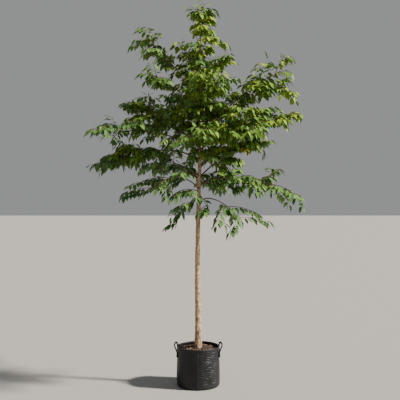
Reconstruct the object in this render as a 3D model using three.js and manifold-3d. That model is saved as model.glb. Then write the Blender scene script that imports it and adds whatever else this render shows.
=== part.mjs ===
// A young standard tree in full leaf, growing in a black fabric root bag with two webbing handles.
// The bag is filled by the root ball, the bare trunk rises from the soil and runs on up through
// the crown as a leader, and slender boughs carry masses of large drooping leaves all round it.
//
// Frame: millimetres, +Z up, +X to the right, +Y away from the viewer. The origin is on the ground,
// at the middle of the bag's flat underside.

import * as THREE from "three";
import { mergeVertices } from "three/addons/utils/BufferGeometryUtils.js";
import Module from "manifold-3d";

const wasm = await Module();
wasm.setup();

// Clearance kept between two solids that touch in the real thing.
const GAP = 0.3;

// Distance within which needless corners are left out of a mass of foliage.
const SIMPLE = 0.05;

const BAG = {
  height: 345,
  footRadius: 188,
  bellyRadius: 191,
  bellyShare: 0.28, // of the height, where the bag is widest
  drawPower: 1.4, // gathers the drawing in towards the rim
  rimRadius: 181,
  wall: 4,
  corner: 14,
  hemHeight: 18,
  hemThickness: 1.6,
  sides: 36,
  rings: 3, // up the side
};

const SOIL = {
  drop: 36, // of the surface at the bag's wall, below the rim
  mound: 15, // of the surface at the trunk, above the surface at the wall
  flatRadius: 62,
};

const HANDLE = {
  span: 94, // between the middles of the two legs, along the wall
  foot: 56, // below the rim, where the legs leave the wall
  crown: 29, // of the loop, above the rim
  bulge: 18, // of the loop, off the wall
  twist: 1.3, // puts the front leg further off the wall, as a share of the bulge, and the back leg on it
  patch: 36, // length sewn flat on the wall, under each leg
  sewnShare: 0.14, // of the webbing's middle line, on each patch
  squareness: 0.75, // of the loop: 1 is round, and less is squarer
  standOffPower: 0.9,
  lean: 0.4, // back towards the bag at the top of the loop, as a share of the bulge
  leanPower: 6, // keeps the lean to the top of the loop
  end: 0.001, // share of the middle line that is left off at each end
  width: 14, // of the webbing, which is folded and sewn into a thick grip
  thickness: 11,
  steps: 22,
};

const TRUNK = {
  tip: 3020,
  footRadius: 26,
  tipRadius: 4.5,
  taper: 1.3, // 1 is an even taper, and more leaves the bare part stouter
  flare: 8, // extra radius at the soil
  flareHeight: 190,
  lobes: 4, // root swellings round the flare
  lobeHeight: 46,
  lobeDepth: 0.07,
  lobeTurn: 0.7,
  lean: 24, // drift of the tip towards +X
  leanPower: 1.6,
  bow: 10, // of the bare part towards -X
  bowEnd: 0.6, // share of the height where the bow ends
  depthSway: 8,
  sides: 12,
  rings: 15,
  ringPace: 1.9, // gathers the rings towards the flare
};

// Boughs. Foot and tip are heights above the ground, heading is the turn from +X towards +Y in
// degrees, reach is level, from the trunk to the tip, and leave and arrive are the slopes there.
const BOUGHS = {
  low_right: { foot: 1600, heading: -42, reach: 510, tip: 1425, leave: 52, arrive: -54 },
  front_left: { foot: 1715, heading: 236, reach: 580, tip: 1750, leave: 42, arrive: -34 },
  drooping_right: { foot: 1755, heading: -13, reach: 845, tip: 1700, leave: 38, arrive: -16 },
  back_left: { foot: 1800, heading: 128, reach: 660, tip: 1950, leave: 44, arrive: -18 },
  low_left: { foot: 1850, heading: 192, reach: 555, tip: 1650, leave: 16, arrive: -38 },
  back_low: { foot: 1880, heading: 78, reach: 660, tip: 2060, leave: 46, arrive: -16 },
  right: { foot: 1910, heading: 14, reach: 820, tip: 2370, leave: 50, arrive: -2 },
  left: { foot: 1955, heading: 176, reach: 870, tip: 1930, leave: 54, arrive: -28 },
  front_low: { foot: 1985, heading: 266, reach: 640, tip: 2110, leave: 46, arrive: -20 },
  left_middle: { foot: 2030, heading: 199, reach: 870, tip: 2200, leave: 44, arrive: -14 },
  front_right: { foot: 2060, heading: 318, reach: 680, tip: 2240, leave: 46, arrive: -12 },
  left_high: { foot: 2085, heading: 162, reach: 690, tip: 2440, leave: 48, arrive: 0 },
  back_right: { foot: 2120, heading: 48, reach: 660, tip: 2350, leave: 46, arrive: -4 },
  right_high: { foot: 2190, heading: -6, reach: 800, tip: 2770, leave: 44, arrive: 14 },
  back_high: { foot: 2270, heading: 104, reach: 520, tip: 2590, leave: 52, arrive: 6 },
  front_high: { foot: 2320, heading: 286, reach: 490, tip: 2600, leave: 52, arrive: 2 },
  upper_left: { foot: 2360, heading: 208, reach: 490, tip: 2690, leave: 50, arrive: 6 },
  top_left: { foot: 2450, heading: 172, reach: 550, tip: 3110, leave: 60, arrive: 34 },
  right_lower: { foot: 1830, heading: 22, reach: 690, tip: 2130, leave: 44, arrive: -20 },
  right_middle: { foot: 2155, heading: 4, reach: 825, tip: 2620, leave: 46, arrive: -16 },
};

// Short leafy branches that grow straight out of the trunk, described as the boughs are.
const SPURS = {
  foot_left: { foot: 1630, heading: 200, reach: 150, tip: 1520, leave: 20, arrive: -60 },
  foot_front: { foot: 1660, heading: 300, reach: 180, tip: 1520, leave: 20, arrive: -56 },
  low_front_left: { foot: 1700, heading: 222, reach: 330, tip: 1640, leave: 30, arrive: -44 },
  low_back: { foot: 1740, heading: 66, reach: 370, tip: 1760, leave: 38, arrive: -34 },
  middle_left: { foot: 2230, heading: 186, reach: 360, tip: 2440, leave: 46, arrive: 4 },
  middle_right: { foot: 2300, heading: 24, reach: 400, tip: 2560, leave: 50, arrive: 6 },
  upper_right: { foot: 2470, heading: -16, reach: 300, tip: 2630, leave: 48, arrive: 0 },
  upper_front: { foot: 2560, heading: 252, reach: 310, tip: 2750, leave: 50, arrive: 4 },
  upper_back: { foot: 2620, heading: 80, reach: 310, tip: 2820, leave: 52, arrive: 8 },
  spur_right: { foot: 2690, heading: 20, reach: 210, tip: 2870, leave: 50, arrive: 10 },
  leader_left: { foot: 2750, heading: 188, reach: 210, tip: 2940, leave: 56, arrive: 12 },
  top_front: { foot: 2820, heading: 268, reach: 190, tip: 3030, leave: 56, arrive: 18 },
  top_right: { foot: 2880, heading: -44, reach: 130, tip: 3090, leave: 60, arrive: 24 },
  top_back: { foot: 2930, heading: 120, reach: 150, tip: 3160, leave: 62, arrive: 34 },
};

const LEADER = { tip: 3320, drift: -30, leaveHandle: 0.3, arriveHandle: 0.7, centre: 0.5 };

// One mass in so many has young, yellower leaves.
const YOUNG_EVERY = 3;

const LIMB = {
  footRadius: 3.6, // of a bough of no reach
  footRadiusPerReach: 0.005,
  tipRadius: 1.7,
  spurFootRadius: 3.4,
  sides: 5,
  rings: 4,
  leaveHandle: 0.26, // shares of the chord that shape the curve at its ends
  arriveHandle: 0.4,
  wander: 0.05, // sideways, as a share of the reach
};

// Points that stand for the limbs where twigs are tested for clearance, and along each twig.
const BEADS = { onTrunk: 180, spacing: 12, onTwig: 8 };

const SPACE = {
  search: 0.01, // step along a bough in the search for that depth
  boughCentre: 0.66, // where on its curve a mass's space is centred
  spurCentre: 0.6,
  margin: 0.6, // that leaves keep from the side of their space
  entry: 14, // depth in the space at which a bough turns into its mass's stem
  earliest: 0.24,
  latest: 0.62,
};

const STEM = { sides: 3, rings: 3 };

const TWIG = {
  spacing: { bough: 84, spur: 80, leader: 50 }, // along a stem
  first: 0.08,
  last: 0.92,
  least: 3, // twigs on a stem
  jitter: 0.7, // of the spacing
  forkAngle: 40,
  forkSpread: 22,
  rollFrom: 30, // degrees from straight up, to alternate sides
  rollTo: 112,
  length: { bough: 390, spur: 300, leader: 220 }, // with its tip leaf
  lengthSpread: 0.3,
  shortening: 0.36, // towards the tip of the stem
  sag: 0.14,
  sagSpread: 0.3,
  sagPower: 2.4,
  footRadius: 3.2,
  tipRadius: 1.5,
  trials: [1, 0.84, 0.68, 0.54], // shares of the length that are tried until the twig fits
  clearance: 3,
  rings: 2,
};

const LEAF = {
  length: 170,
  lengthSpread: 0.24,
  width: 0.48, // of the length
  keel: 0.022, // depth of the midrib below the blade's edges, as a share of the length
  widest: 0.42, // of the length, from the stalk
  droop: 0.12,
  spacing: 55,
  first: 0.16, // where along a twig the first leaf grows
  last: 1,
  forward: 0.4, // parts of a leaf's direction: along its twig, to the side and straight down
  forwardSpread: 0.3,
  sideways: 0.7,
  hang: 0.45,
  hangSpread: 0.8,
  rollSpread: 1.1, // radians
  free: 0.14, // of the length, from the root, that may touch the leaf's own twig
  tries: 4,
  longestTipShare: 0.6, // of a shoot's length that its tip leaf may take
};

const COLOURS = {
  bark: { color: 0x6f5a48, roughness: 0.85 },
  branch: { color: 0x4b3527, roughness: 0.8 },
  leaf: { color: 0x2f5a1c, roughness: 0.5 },
  youngLeaf: { color: 0x5d8626, roughness: 0.5 },
  bag: { color: 0x1c1d1f, roughness: 0.9 },
  webbing: { color: 0x111112, roughness: 0.85 },
  soil: { color: 0x7a5f45, roughness: 0.95 },
};

const UP = new THREE.Vector3(0, 0, 1);
const ACROSS = new THREE.Vector3(1, 0, 0);
const SOIL_TOP = BAG.height - SOIL.drop + SOIL.mound;
const TRUNK_FOOT = SOIL_TOP + GAP;

// Gives a function that returns the same run of numbers from 0 to 1 for the same seed.
function seededDraws(seed) {
  let state = seed >>> 0;
  return () => {
    state = (state + 0x6d2b79f5) >>> 0;
    let mixed = Math.imul(state ^ (state >>> 15), state | 1);
    mixed ^= mixed + Math.imul(mixed ^ (mixed >>> 7), mixed | 61);
    return ((mixed ^ (mixed >>> 14)) >>> 0) / 4294967296;
  };
}

// Turns a closed geometry into a solid for cutting and joining.
function solidOf(geometry) {
  geometry.deleteAttribute("normal");
  geometry.deleteAttribute("uv");
  const merged = mergeVertices(geometry, 1e-4);
  const index = merged.index.array;
  const corners = [];
  for (let i = 0; i < index.length; i += 3) {
    const [a, b, c] = [index[i], index[i + 1], index[i + 2]];
    if (a !== b && b !== c && c !== a) corners.push(a, b, c);
  }
  const vertProperties = merged.attributes.position.array;
  const triVerts = new Uint32Array(corners);
  return new wasm.Manifold(new wasm.Mesh({ numProp: 3, vertProperties, triVerts }));
}

// Turns a solid back into a geometry.
function geometryOf(solid) {
  const mesh = solid.getMesh();
  const positions = new Float32Array(mesh.numVert * 3);
  for (let i = 0; i < mesh.numVert; i += 1) {
    positions.set(mesh.vertProperties.subarray(i * mesh.numProp, i * mesh.numProp + 3), i * 3);
  }
  const geometry = new THREE.BufferGeometry();
  geometry.setAttribute("position", new THREE.BufferAttribute(positions, 3));
  geometry.setIndex(new THREE.BufferAttribute(mesh.triVerts, 1));
  return geometry;
}

// The largest piece of a solid, with its sealed hollows filled and its loose scraps dropped.
function largestPiece(solid) {
  return solid.decompose().reduce((best, piece) => (piece.volume() > best.volume() ? piece : best));
}

function meshOf(name, solid, finish) {
  const material = new THREE.MeshStandardMaterial({ metalness: 0, ...finish });
  const mesh = new THREE.Mesh(geometryOf(solid), material);
  mesh.name = name;
  return mesh;
}

// The trunk's middle line, from the soil to the foot of the leader's last shoot.
class TrunkLine extends THREE.Curve {
  getPoint(t, target = new THREE.Vector3()) {
    const bow = TRUNK.bow * Math.sin(Math.PI * Math.min(t / TRUNK.bowEnd, 1)) ** 2;
    const x = TRUNK.lean * t ** TRUNK.leanPower - bow;
    const y = TRUNK.depthSway * t * Math.sin(2 * Math.PI * t);
    return target.set(x, y, THREE.MathUtils.lerp(TRUNK_FOOT, TRUNK.tip, t));
  }
}

const trunkLine = new TrunkLine();

function trunkShare(height) {
  return (height - TRUNK_FOOT) / (TRUNK.tip - TRUNK_FOOT);
}

function trunkRadius(t) {
  return TRUNK.tipRadius + (TRUNK.footRadius - TRUNK.tipRadius) * (1 - t ** TRUNK.taper);
}

// The trunk's radius with its root flare, whose swellings fade out up the trunk.
function flaredRadius(t, angle) {
  const height = t * (TRUNK.tip - TRUNK_FOOT);
  const flare = TRUNK.flare * Math.exp(-height / TRUNK.flareHeight);
  const swelling = TRUNK.lobeDepth * Math.exp(-height / TRUNK.lobeHeight);
  return (trunkRadius(t) + flare) * (1 + swelling * Math.cos(TRUNK.lobes * angle + TRUNK.lobeTurn));
}

// Two directions across a curve: level to its side, and up from it.
function acrossCurve(tangent) {
  const reference = Math.abs(tangent.z) > 0.9 ? ACROSS : UP;
  const side = new THREE.Vector3().crossVectors(tangent, reference).normalize();
  return { side, lift: new THREE.Vector3().crossVectors(side, tangent) };
}

// Sweeps a section along a curve. The section has a corner straight below, and sizeAt(t, angle)
// gives its half width and half depth at a share of the curve. The shares run from foot to tip.
function sweptSolid(curve, shares, sides, sizeAt) {
  const geometry = new THREE.CylinderGeometry(1, 1, 1, sides, shares.length - 1, false, Math.PI);
  const positions = geometry.attributes.position;
  let { side } = acrossCurve(curve.getTangent(shares[0]));
  const frames = shares.map((t) => {
    const tangent = curve.getTangent(t);
    side = side.clone().addScaledVector(tangent, -side.dot(tangent)).normalize();
    return { t, middle: curve.getPoint(t), side, lift: side.clone().cross(tangent) };
  });
  for (let i = 0; i < positions.count; i += 1) {
    const frame = frames[Math.round((positions.getY(i) + 0.5) * (shares.length - 1))];
    const [x, z] = [positions.getX(i), positions.getZ(i)];
    const [halfWidth, halfDepth] = sizeAt(frame.t, Math.atan2(z, x));
    const place = frame.middle.clone().addScaledVector(frame.side, x * halfWidth);
    place.addScaledVector(frame.lift, z * halfDepth);
    positions.setXYZ(i, place.x, place.y, place.z);
  }
  return solidOf(geometry);
}

// Shares of a curve from one end of a stretch to the other, closer together at its foot where the
// pace is over 1.
function sharesOf(from, to, rings, pace = 1) {
  const shareAt = (_, i) => THREE.MathUtils.lerp(from, to, (i / rings) ** pace);
  return Array.from({ length: rings + 1 }, shareAt);
}

function trunkSolid(extra) {
  const shares = sharesOf(0, 1, TRUNK.rings, TRUNK.ringPace);
  return sweptSolid(trunkLine, shares, TRUNK.sides, (t, angle) => {
    const radius = flaredRadius(t, angle) + extra;
    return [radius, radius];
  });
}

// The curve of a bough or spur, from the trunk's middle line to its tip.
function limbCurve(row, seed) {
  const draw = seededDraws(seed);
  const heading = THREE.MathUtils.degToRad(row.heading);
  const out = new THREE.Vector3(Math.cos(heading), Math.sin(heading), 0);
  const aside = new THREE.Vector3(-out.y, out.x, 0);
  const foot = trunkLine.getPoint(trunkShare(row.foot));
  const tip = foot.clone().addScaledVector(out, row.reach).setZ(row.tip);
  const chord = foot.distanceTo(tip);
  const slope = (degrees) => {
    const angle = THREE.MathUtils.degToRad(degrees);
    return out.clone().multiplyScalar(Math.cos(angle)).addScaledVector(UP, Math.sin(angle));
  };
  const wander = () => (draw() - 0.5) * 2 * LIMB.wander * row.reach;
  const first = foot.clone().addScaledVector(slope(row.leave), LIMB.leaveHandle * chord);
  const second = tip.clone().addScaledVector(slope(row.arrive), -LIMB.arriveHandle * chord);
  first.addScaledVector(aside, wander());
  second.addScaledVector(aside, wander());
  return new THREE.CubicBezierCurve3(foot, first, second, tip);
}

function limbRadius(limb, t) {
  return LIMB.tipRadius + (limb.footRadius - LIMB.tipRadius) * (1 - t);
}

// A tapering stretch of a limb.
function limbSolid(limb, from, to, sides, rings, extra = 0) {
  return sweptSolid(limb.curve, sharesOf(from, to, rings), sides, (t) => {
    const radius = limbRadius(limb, t) + extra;
    return [radius, radius];
  });
}

// Every leafy limb: boughs, spurs and the leader's last shoot, with the curve each follows.
function planLimbs() {
  const limbs = [];
  for (const [name, row] of Object.entries(BOUGHS)) {
    const footRadius = LIMB.footRadius + LIMB.footRadiusPerReach * row.reach;
    const curve = limbCurve(row, limbs.length + 1);
    limbs.push({ name, kind: "bough", curve, footRadius, centre: curve.getPoint(SPACE.boughCentre) });
  }
  for (const [name, row] of Object.entries(SPURS)) {
    const curve = limbCurve(row, limbs.length + 1);
    const centre = curve.getPoint(SPACE.spurCentre);
    limbs.push({ name, kind: "spur", curve, footRadius: LIMB.spurFootRadius, centre });
  }
  const foot = trunkLine.getPoint(1);
  const tip = foot.clone().setX(foot.x + LEADER.drift).setZ(LEADER.tip);
  const rise = tip.clone().sub(foot);
  const along = (share) => foot.clone().addScaledVector(rise, share);
  const handles = [along(LEADER.leaveHandle), along(LEADER.arriveHandle)];
  const curve = new THREE.CubicBezierCurve3(foot, ...handles, tip);
  const centre = along(LEADER.centre);
  limbs.push({ name: "leader", kind: "leader", curve, footRadius: TRUNK.tipRadius, centre });
  return limbs;
}

const limbs = planLimbs();

// How far a point lies inside a limb's own space, which is all that is nearer to its centre than
// to the centre of any other limb. It is negative outside.
function depthInSpace(limb, point) {
  let depth = Infinity;
  for (const other of limbs) {
    if (other === limb) continue;
    const between = other.centre.distanceTo(limb.centre);
    const nearer = point.distanceToSquared(other.centre) - point.distanceToSquared(limb.centre);
    depth = Math.min(depth, nearer / (2 * between));
  }
  return depth;
}

// Where on its curve each limb's leafy stem begins.
function stemStart(limb) {
  if (limb.kind !== "bough") return 0;
  for (let t = SPACE.earliest; t < SPACE.latest; t += SPACE.search) {
    if (depthInSpace(limb, limb.curve.getPoint(t)) > SPACE.entry) return t;
  }
  return SPACE.latest;
}

// Points along the trunk and every limb, with the radius there, that twigs and leaves keep clear of.
function obstacleBeads() {
  const beads = [];
  for (let i = 0; i <= BEADS.onTrunk; i += 1) {
    const t = i / BEADS.onTrunk;
    beads.push({ owner: "trunk", point: trunkLine.getPoint(t), radius: trunkRadius(t) });
  }
  for (const limb of limbs) {
    const steps = Math.ceil(limb.curve.getLength() / BEADS.spacing);
    for (let i = 0; i <= steps; i += 1) {
      const t = i / steps;
      const owner = t < limb.start ? "bough" : limb.name;
      beads.push({ owner, point: limb.curve.getPoint(t), radius: limbRadius(limb, t) });
    }
  }
  return beads;
}

for (const limb of limbs) limb.start = stemStart(limb);
const beads = obstacleBeads();

function isClear(limb, point, radius) {
  return beads.every((bead) => {
    if (bead.owner === limb.name) return true;
    return bead.point.distanceTo(point) > bead.radius + radius + TWIG.clearance;
  });
}

// A twig's middle line: it leaves straight and then sags under its leaves.
class TwigLine extends THREE.Curve {
  constructor(root, direction, length, sag) {
    super();
    Object.assign(this, { root, direction, length, sag });
  }

  getPoint(t, target = new THREE.Vector3()) {
    target.copy(this.root).addScaledVector(this.direction, this.length * t);
    return target.addScaledVector(UP, -this.sag * this.length * t ** TWIG.sagPower);
  }
}

// A twig fits if all of it, past the part that is rooted in its stem, is inside the limb's space
// and clear of the trunk and the other limbs.
function twigFits(limb, line) {
  for (let i = 1; i <= BEADS.onTwig; i += 1) {
    const point = line.getPoint(i / BEADS.onTwig);
    if (depthInSpace(limb, point) < TWIG.footRadius + SPACE.margin) return false;
    if (!isClear(limb, point, TWIG.footRadius)) return false;
  }
  return true;
}

// The side twigs of a limb's stem, by a seeded rule: they fork off to alternate sides, and each
// is shortened until it fits, or else skipped.
function twigLines(limb, seed) {
  const stemLength = limb.curve.getLength() * (1 - limb.start);
  const count = Math.max(TWIG.least, Math.round(stemLength / TWIG.spacing[limb.kind]));
  const lines = [];
  for (let i = 0; i < count; i += 1) {
    const draw = seededDraws(seed * 1000 + i);
    const place = TWIG.first + ((i + TWIG.jitter * draw()) / count) * (TWIG.last - TWIG.first);
    const t = THREE.MathUtils.lerp(limb.start, 1, place);
    const tangent = limb.curve.getTangent(t);
    const { side, lift } = acrossCurve(tangent);
    const turn = THREE.MathUtils.lerp(TWIG.rollFrom, TWIG.rollTo, draw());
    const roll = THREE.MathUtils.degToRad(turn) * (i % 2 ? -1 : 1);
    const fork = THREE.MathUtils.degToRad(TWIG.forkAngle + TWIG.forkSpread * draw());
    const outward = lift.clone().multiplyScalar(Math.cos(roll)).addScaledVector(side, Math.sin(roll));
    const direction = tangent.multiplyScalar(Math.cos(fork)).addScaledVector(outward, Math.sin(fork));
    const spread = 1 + TWIG.lengthSpread * (draw() - 0.5);
    const length = TWIG.length[limb.kind] * spread * (1 - TWIG.shortening * place);
    const sag = TWIG.sag + TWIG.sagSpread * draw();
    const root = limb.curve.getPoint(t);
    const tried = TWIG.trials.map((share) => new TwigLine(root, direction, length * share, sag));
    const line = tried.find((candidate) => twigFits(limb, candidate));
    if (line) lines.push(line);
  }
  return lines;
}

// A shoot that ends in a leaf: its section widens into the blade of the leaf and closes at its tip.
function shootSolid(curve, from, length, leafLength, rings, radiusAt) {
  const stalkEnd = 1 - leafLength / length;
  const widest = THREE.MathUtils.lerp(stalkEnd, 1, LEAF.widest);
  const halfBlade = (LEAF.width * leafLength) / Math.sqrt(3);
  const shares = [...sharesOf(from, stalkEnd, rings), widest, 1];
  return sweptSolid(curve, shares, STEM.sides, (t) => {
    if (t === 1) return [0, 0];
    if (t === widest) return [halfBlade, LEAF.keel * leafLength];
    return [radiusAt(t), radiusAt(t)];
  });
}

// A leaf with a keel under its midrib, arched down to its tip. It runs along +X of its frame, with
// its upper face along +Z. The part nearest its root can be left off.
function leafSolid(frame, length, leftOff) {
  const drop = (share) => -LEAF.droop * length * share ** 2;
  const half = (LEAF.width * length) / 2;
  const middle = LEAF.widest * length;
  const corners = [
    [leftOff * length, 0, drop(leftOff)],
    [length, 0, drop(1)],
    [middle, half, drop(LEAF.widest)],
    [middle, -half, drop(LEAF.widest)],
    [middle, 0, drop(LEAF.widest) - LEAF.keel * length],
  ];
  const faces = [0, 3, 2, 0, 2, 4, 0, 4, 3, 1, 2, 3, 1, 4, 2, 1, 3, 4];
  const geometry = new THREE.BufferGeometry();
  geometry.setAttribute("position", new THREE.Float32BufferAttribute(corners.flat(), 3));
  geometry.setIndex(faces);
  return solidOf(geometry.applyMatrix4(frame));
}

// A frame for a leaf that grows from a twig or stem, to the given side of it, and hangs.
function leafFrame(curve, t, sideways, draw) {
  const tangent = curve.getTangent(t);
  const { side } = acrossCurve(tangent);
  const along = tangent.multiplyScalar(LEAF.forward + LEAF.forwardSpread * draw());
  along.addScaledVector(side, LEAF.sideways * sideways);
  along.addScaledVector(UP, -LEAF.hang - LEAF.hangSpread * draw()).normalize();
  const level = acrossCurve(along);
  const roll = (draw() - 0.5) * LEAF.rollSpread;
  const normal = level.lift.multiplyScalar(Math.cos(roll)).addScaledVector(level.side, Math.sin(roll));
  const across = normal.clone().cross(along);
  return new THREE.Matrix4().makeBasis(along, across, normal).setPosition(curve.getPoint(t));
}

// Whether every corner of a solid lies inside a limb's own space.
function insideSpace(limb, solid) {
  const { vertProperties, numProp } = solid.getMesh();
  const corner = new THREE.Vector3();
  for (let i = 0; i < vertProperties.length; i += numProp) {
    if (depthInSpace(limb, corner.fromArray(vertProperties, i)) < SPACE.margin) return false;
  }
  return true;
}

function variedLeafLength(draw) {
  return LEAF.length * (1 + LEAF.lengthSpread * (draw() - 0.5));
}

// Adds alternate leaves along a stretch of a twig or stem. A leaf that would leave the space, touch
// another limb or cut through the foliage is turned, and then skipped.
function addLeaves(mass, limb, curve, from, to, length, seed, obstacles) {
  const draw = seededDraws(seed);
  const count = Math.max(1, Math.round(((to - from) * length) / LEAF.spacing));
  let grown = mass;
  for (let i = 0; i < count; i += 1) {
    const t = THREE.MathUtils.lerp(from, to, (i + 0.5) / count);
    const leafLength = variedLeafLength(draw);
    for (let attempt = 0; attempt < LEAF.tries; attempt += 1) {
      const frame = leafFrame(curve, t, i % 2 ? 1 : -1, draw);
      const free = leafSolid(frame, leafLength, LEAF.free);
      const fits = insideSpace(limb, free) && free.intersect(obstacles).isEmpty();
      if (fits && free.intersect(grown).isEmpty()) {
        grown = grown.add(leafSolid(frame, leafLength, 0));
        break;
      }
    }
  }
  return grown;
}

// A mass of foliage: the limb's stem, its side twigs and their leaves, all in one piece.
function foliageSolid(limb, seed, obstacles) {
  const { curve } = limb;
  const draw = seededDraws(seed * 1000 + 999);
  const tipLeaf = (length) => Math.min(variedLeafLength(draw), LEAF.longestTipShare * length);
  const stemLength = curve.getLength();
  const shoots = [{ line: curve, length: stemLength, leaf: tipLeaf(stemLength), from: limb.start }];
  const start = limb.start + (limb.kind === "spur" ? 0 : GAP / stemLength);
  const stemRadius = (t) => limbRadius(limb, t);
  let mass = shootSolid(curve, start, stemLength, shoots[0].leaf, STEM.rings, stemRadius);
  for (const line of twigLines(limb, seed)) {
    const shoot = { line, length: line.length, leaf: tipLeaf(line.length), from: 0 };
    const stalkEnd = 1 - shoot.leaf / shoot.length;
    const radiusAt = (t) => THREE.MathUtils.lerp(TWIG.footRadius, TWIG.tipRadius, t / stalkEnd);
    const twig = shootSolid(line, 0, shoot.length, shoot.leaf, TWIG.rings, radiusAt);
    if (!insideSpace(limb, twig) || !twig.intersect(obstacles).isEmpty()) continue;
    mass = mass.add(twig);
    shoots.push(shoot);
  }
  shoots.forEach(({ line, length, leaf, from }, i) => {
    const stalkEnd = 1 - leaf / length;
    const first = THREE.MathUtils.lerp(from, stalkEnd, LEAF.first);
    const last = THREE.MathUtils.lerp(from, stalkEnd, LEAF.last);
    mass = addLeaves(mass, limb, line, first, last, length, seed * 1000 + 500 + i, obstacles);
  });
  return largestPiece(mass.subtract(obstacles).simplify(SIMPLE));
}

// The radius of the bag's outside at a height, fullest below its middle and drawn in at the rim.
function bagRadius(height) {
  const share = height / BAG.height;
  const swell = Math.sin(Math.min(share / BAG.bellyShare, 1) * Math.PI * 0.5);
  const drawn = Math.max(0, (share - BAG.bellyShare) / (1 - BAG.bellyShare)) ** BAG.drawPower;
  const low = THREE.MathUtils.lerp(BAG.footRadius, BAG.bellyRadius, swell);
  return low - (BAG.bellyRadius - BAG.rimRadius) * drawn;
}

// Points up the bag's side, inset from its outside.
function sideProfile(from, to, inset) {
  return sharesOf(from, to, BAG.rings).map((z) => new THREE.Vector2(bagRadius(z) - inset, z));
}

// The rounded lower corner of the bag's outside, or of its inside with the wall as inset.
function cornerProfile(inset) {
  const radius = BAG.corner - inset;
  const middle = bagRadius(BAG.corner) - BAG.corner;
  return [0, 1, 2].map((i) => {
    const angle = (i / 3) * Math.PI * 0.5;
    return new THREE.Vector2(middle + radius * Math.sin(angle), BAG.corner - radius * Math.cos(angle));
  });
}

function turnedSolid(profile) {
  return solidOf(new THREE.LatheGeometry(profile, BAG.sides).rotateX(Math.PI / 2));
}

function bagSolid() {
  const hemFoot = BAG.height - BAG.hemHeight;
  const hemSide = [hemFoot + BAG.hemThickness, BAG.height - BAG.hemThickness];
  const hem = hemSide.map((z) => new THREE.Vector2(bagRadius(z) + BAG.hemThickness, z));
  const profile = [
    new THREE.Vector2(0, 0),
    ...cornerProfile(0),
    ...sideProfile(BAG.corner, hemFoot, 0),
    ...hem,
    new THREE.Vector2(BAG.rimRadius, BAG.height),
    new THREE.Vector2(BAG.rimRadius - BAG.wall, BAG.height),
    ...sideProfile(BAG.corner, hemFoot, BAG.wall).reverse(),
    ...cornerProfile(BAG.wall).reverse(),
    new THREE.Vector2(0, BAG.wall),
  ];
  return turnedSolid(profile);
}

function rootBallSolid() {
  const inset = BAG.wall + GAP;
  const brim = SOIL_TOP - SOIL.mound;
  const profile = [
    new THREE.Vector2(0, inset),
    ...cornerProfile(inset),
    ...sideProfile(BAG.corner, brim, inset),
    new THREE.Vector2(SOIL.flatRadius, SOIL_TOP),
    new THREE.Vector2(0, SOIL_TOP),
  ];
  return turnedSolid(profile);
}

// A handle's middle line: up the wall from one sewn patch, round the loop, and down to the other.
class HandleLine extends THREE.Curve {
  // The front is 1 where the line begins at its front leg, and -1 where it ends there.
  constructor(heading, front) {
    super();
    this.heading = heading;
    this.front = front;
  }

  getPoint(t, target = new THREE.Vector3()) {
    const sewn = HANDLE.sewnShare;
    const round = THREE.MathUtils.clamp((t - sewn) / (1 - 2 * sewn), 0, 1);
    const swing = Math.sin(Math.PI * round);
    const below = (Math.max(0, sewn - t, t - (1 - sewn)) / sewn) * HANDLE.patch;
    const foot = BAG.height - HANDLE.foot;
    const height = foot - below + (HANDLE.foot + HANDLE.crown) * swing ** HANDLE.squareness;
    const lean = 1 - HANDLE.lean * swing ** HANDLE.leanPower;
    const sideways = Math.cos(Math.PI * round);
    const twist = Math.max(0, 1 + this.front * HANDLE.twist * sideways);
    const standOff = HANDLE.bulge * swing ** HANDLE.standOffPower * lean * twist;
    const aside = (-HANDLE.span / 2) * sideways;
    const radius = bagRadius(Math.min(height, BAG.height)) + GAP + HANDLE.thickness / 2 + standOff;
    const angle = this.heading + aside / radius;
    return target.set(radius * Math.cos(angle), radius * Math.sin(angle), height);
  }
}

// A handle of folded webbing, whose ends lie on the wall where they are sewn.
function handleSolid(heading, front, bagOutside) {
  const line = new HandleLine(heading, front);
  const geometry = new THREE.BoxGeometry(1, 1, 1, 1, HANDLE.steps, 1);
  const positions = geometry.attributes.position;
  for (let i = 0; i < positions.count; i += 1) {
    const t = THREE.MathUtils.clamp(positions.getY(i) + 0.5, HANDLE.end, 1 - HANDLE.end);
    const middle = line.getPoint(t);
    const tangent = line.getTangent(t);
    const outward = new THREE.Vector3(middle.x, middle.y, 0).normalize();
    const face = outward.addScaledVector(tangent, -outward.dot(tangent)).normalize();
    const across = tangent.clone().cross(face);
    middle.addScaledVector(across, positions.getX(i) * HANDLE.width);
    middle.addScaledVector(face, positions.getZ(i) * HANDLE.thickness);
    positions.setXYZ(i, middle.x, middle.y, middle.z);
  }
  return largestPiece(solidOf(geometry).subtract(bagOutside));
}

// The bag's outside, grown by the gap that the handles keep from it.
function bagEnvelope() {
  const hemFoot = BAG.height - BAG.hemHeight;
  const profile = [
    new THREE.Vector2(0, 0),
    ...sideProfile(0, hemFoot, -GAP),
    ...sideProfile(hemFoot, BAG.height + GAP, -GAP - BAG.hemThickness),
    new THREE.Vector2(0, BAG.height + GAP),
  ];
  return turnedSolid(profile);
}

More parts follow.
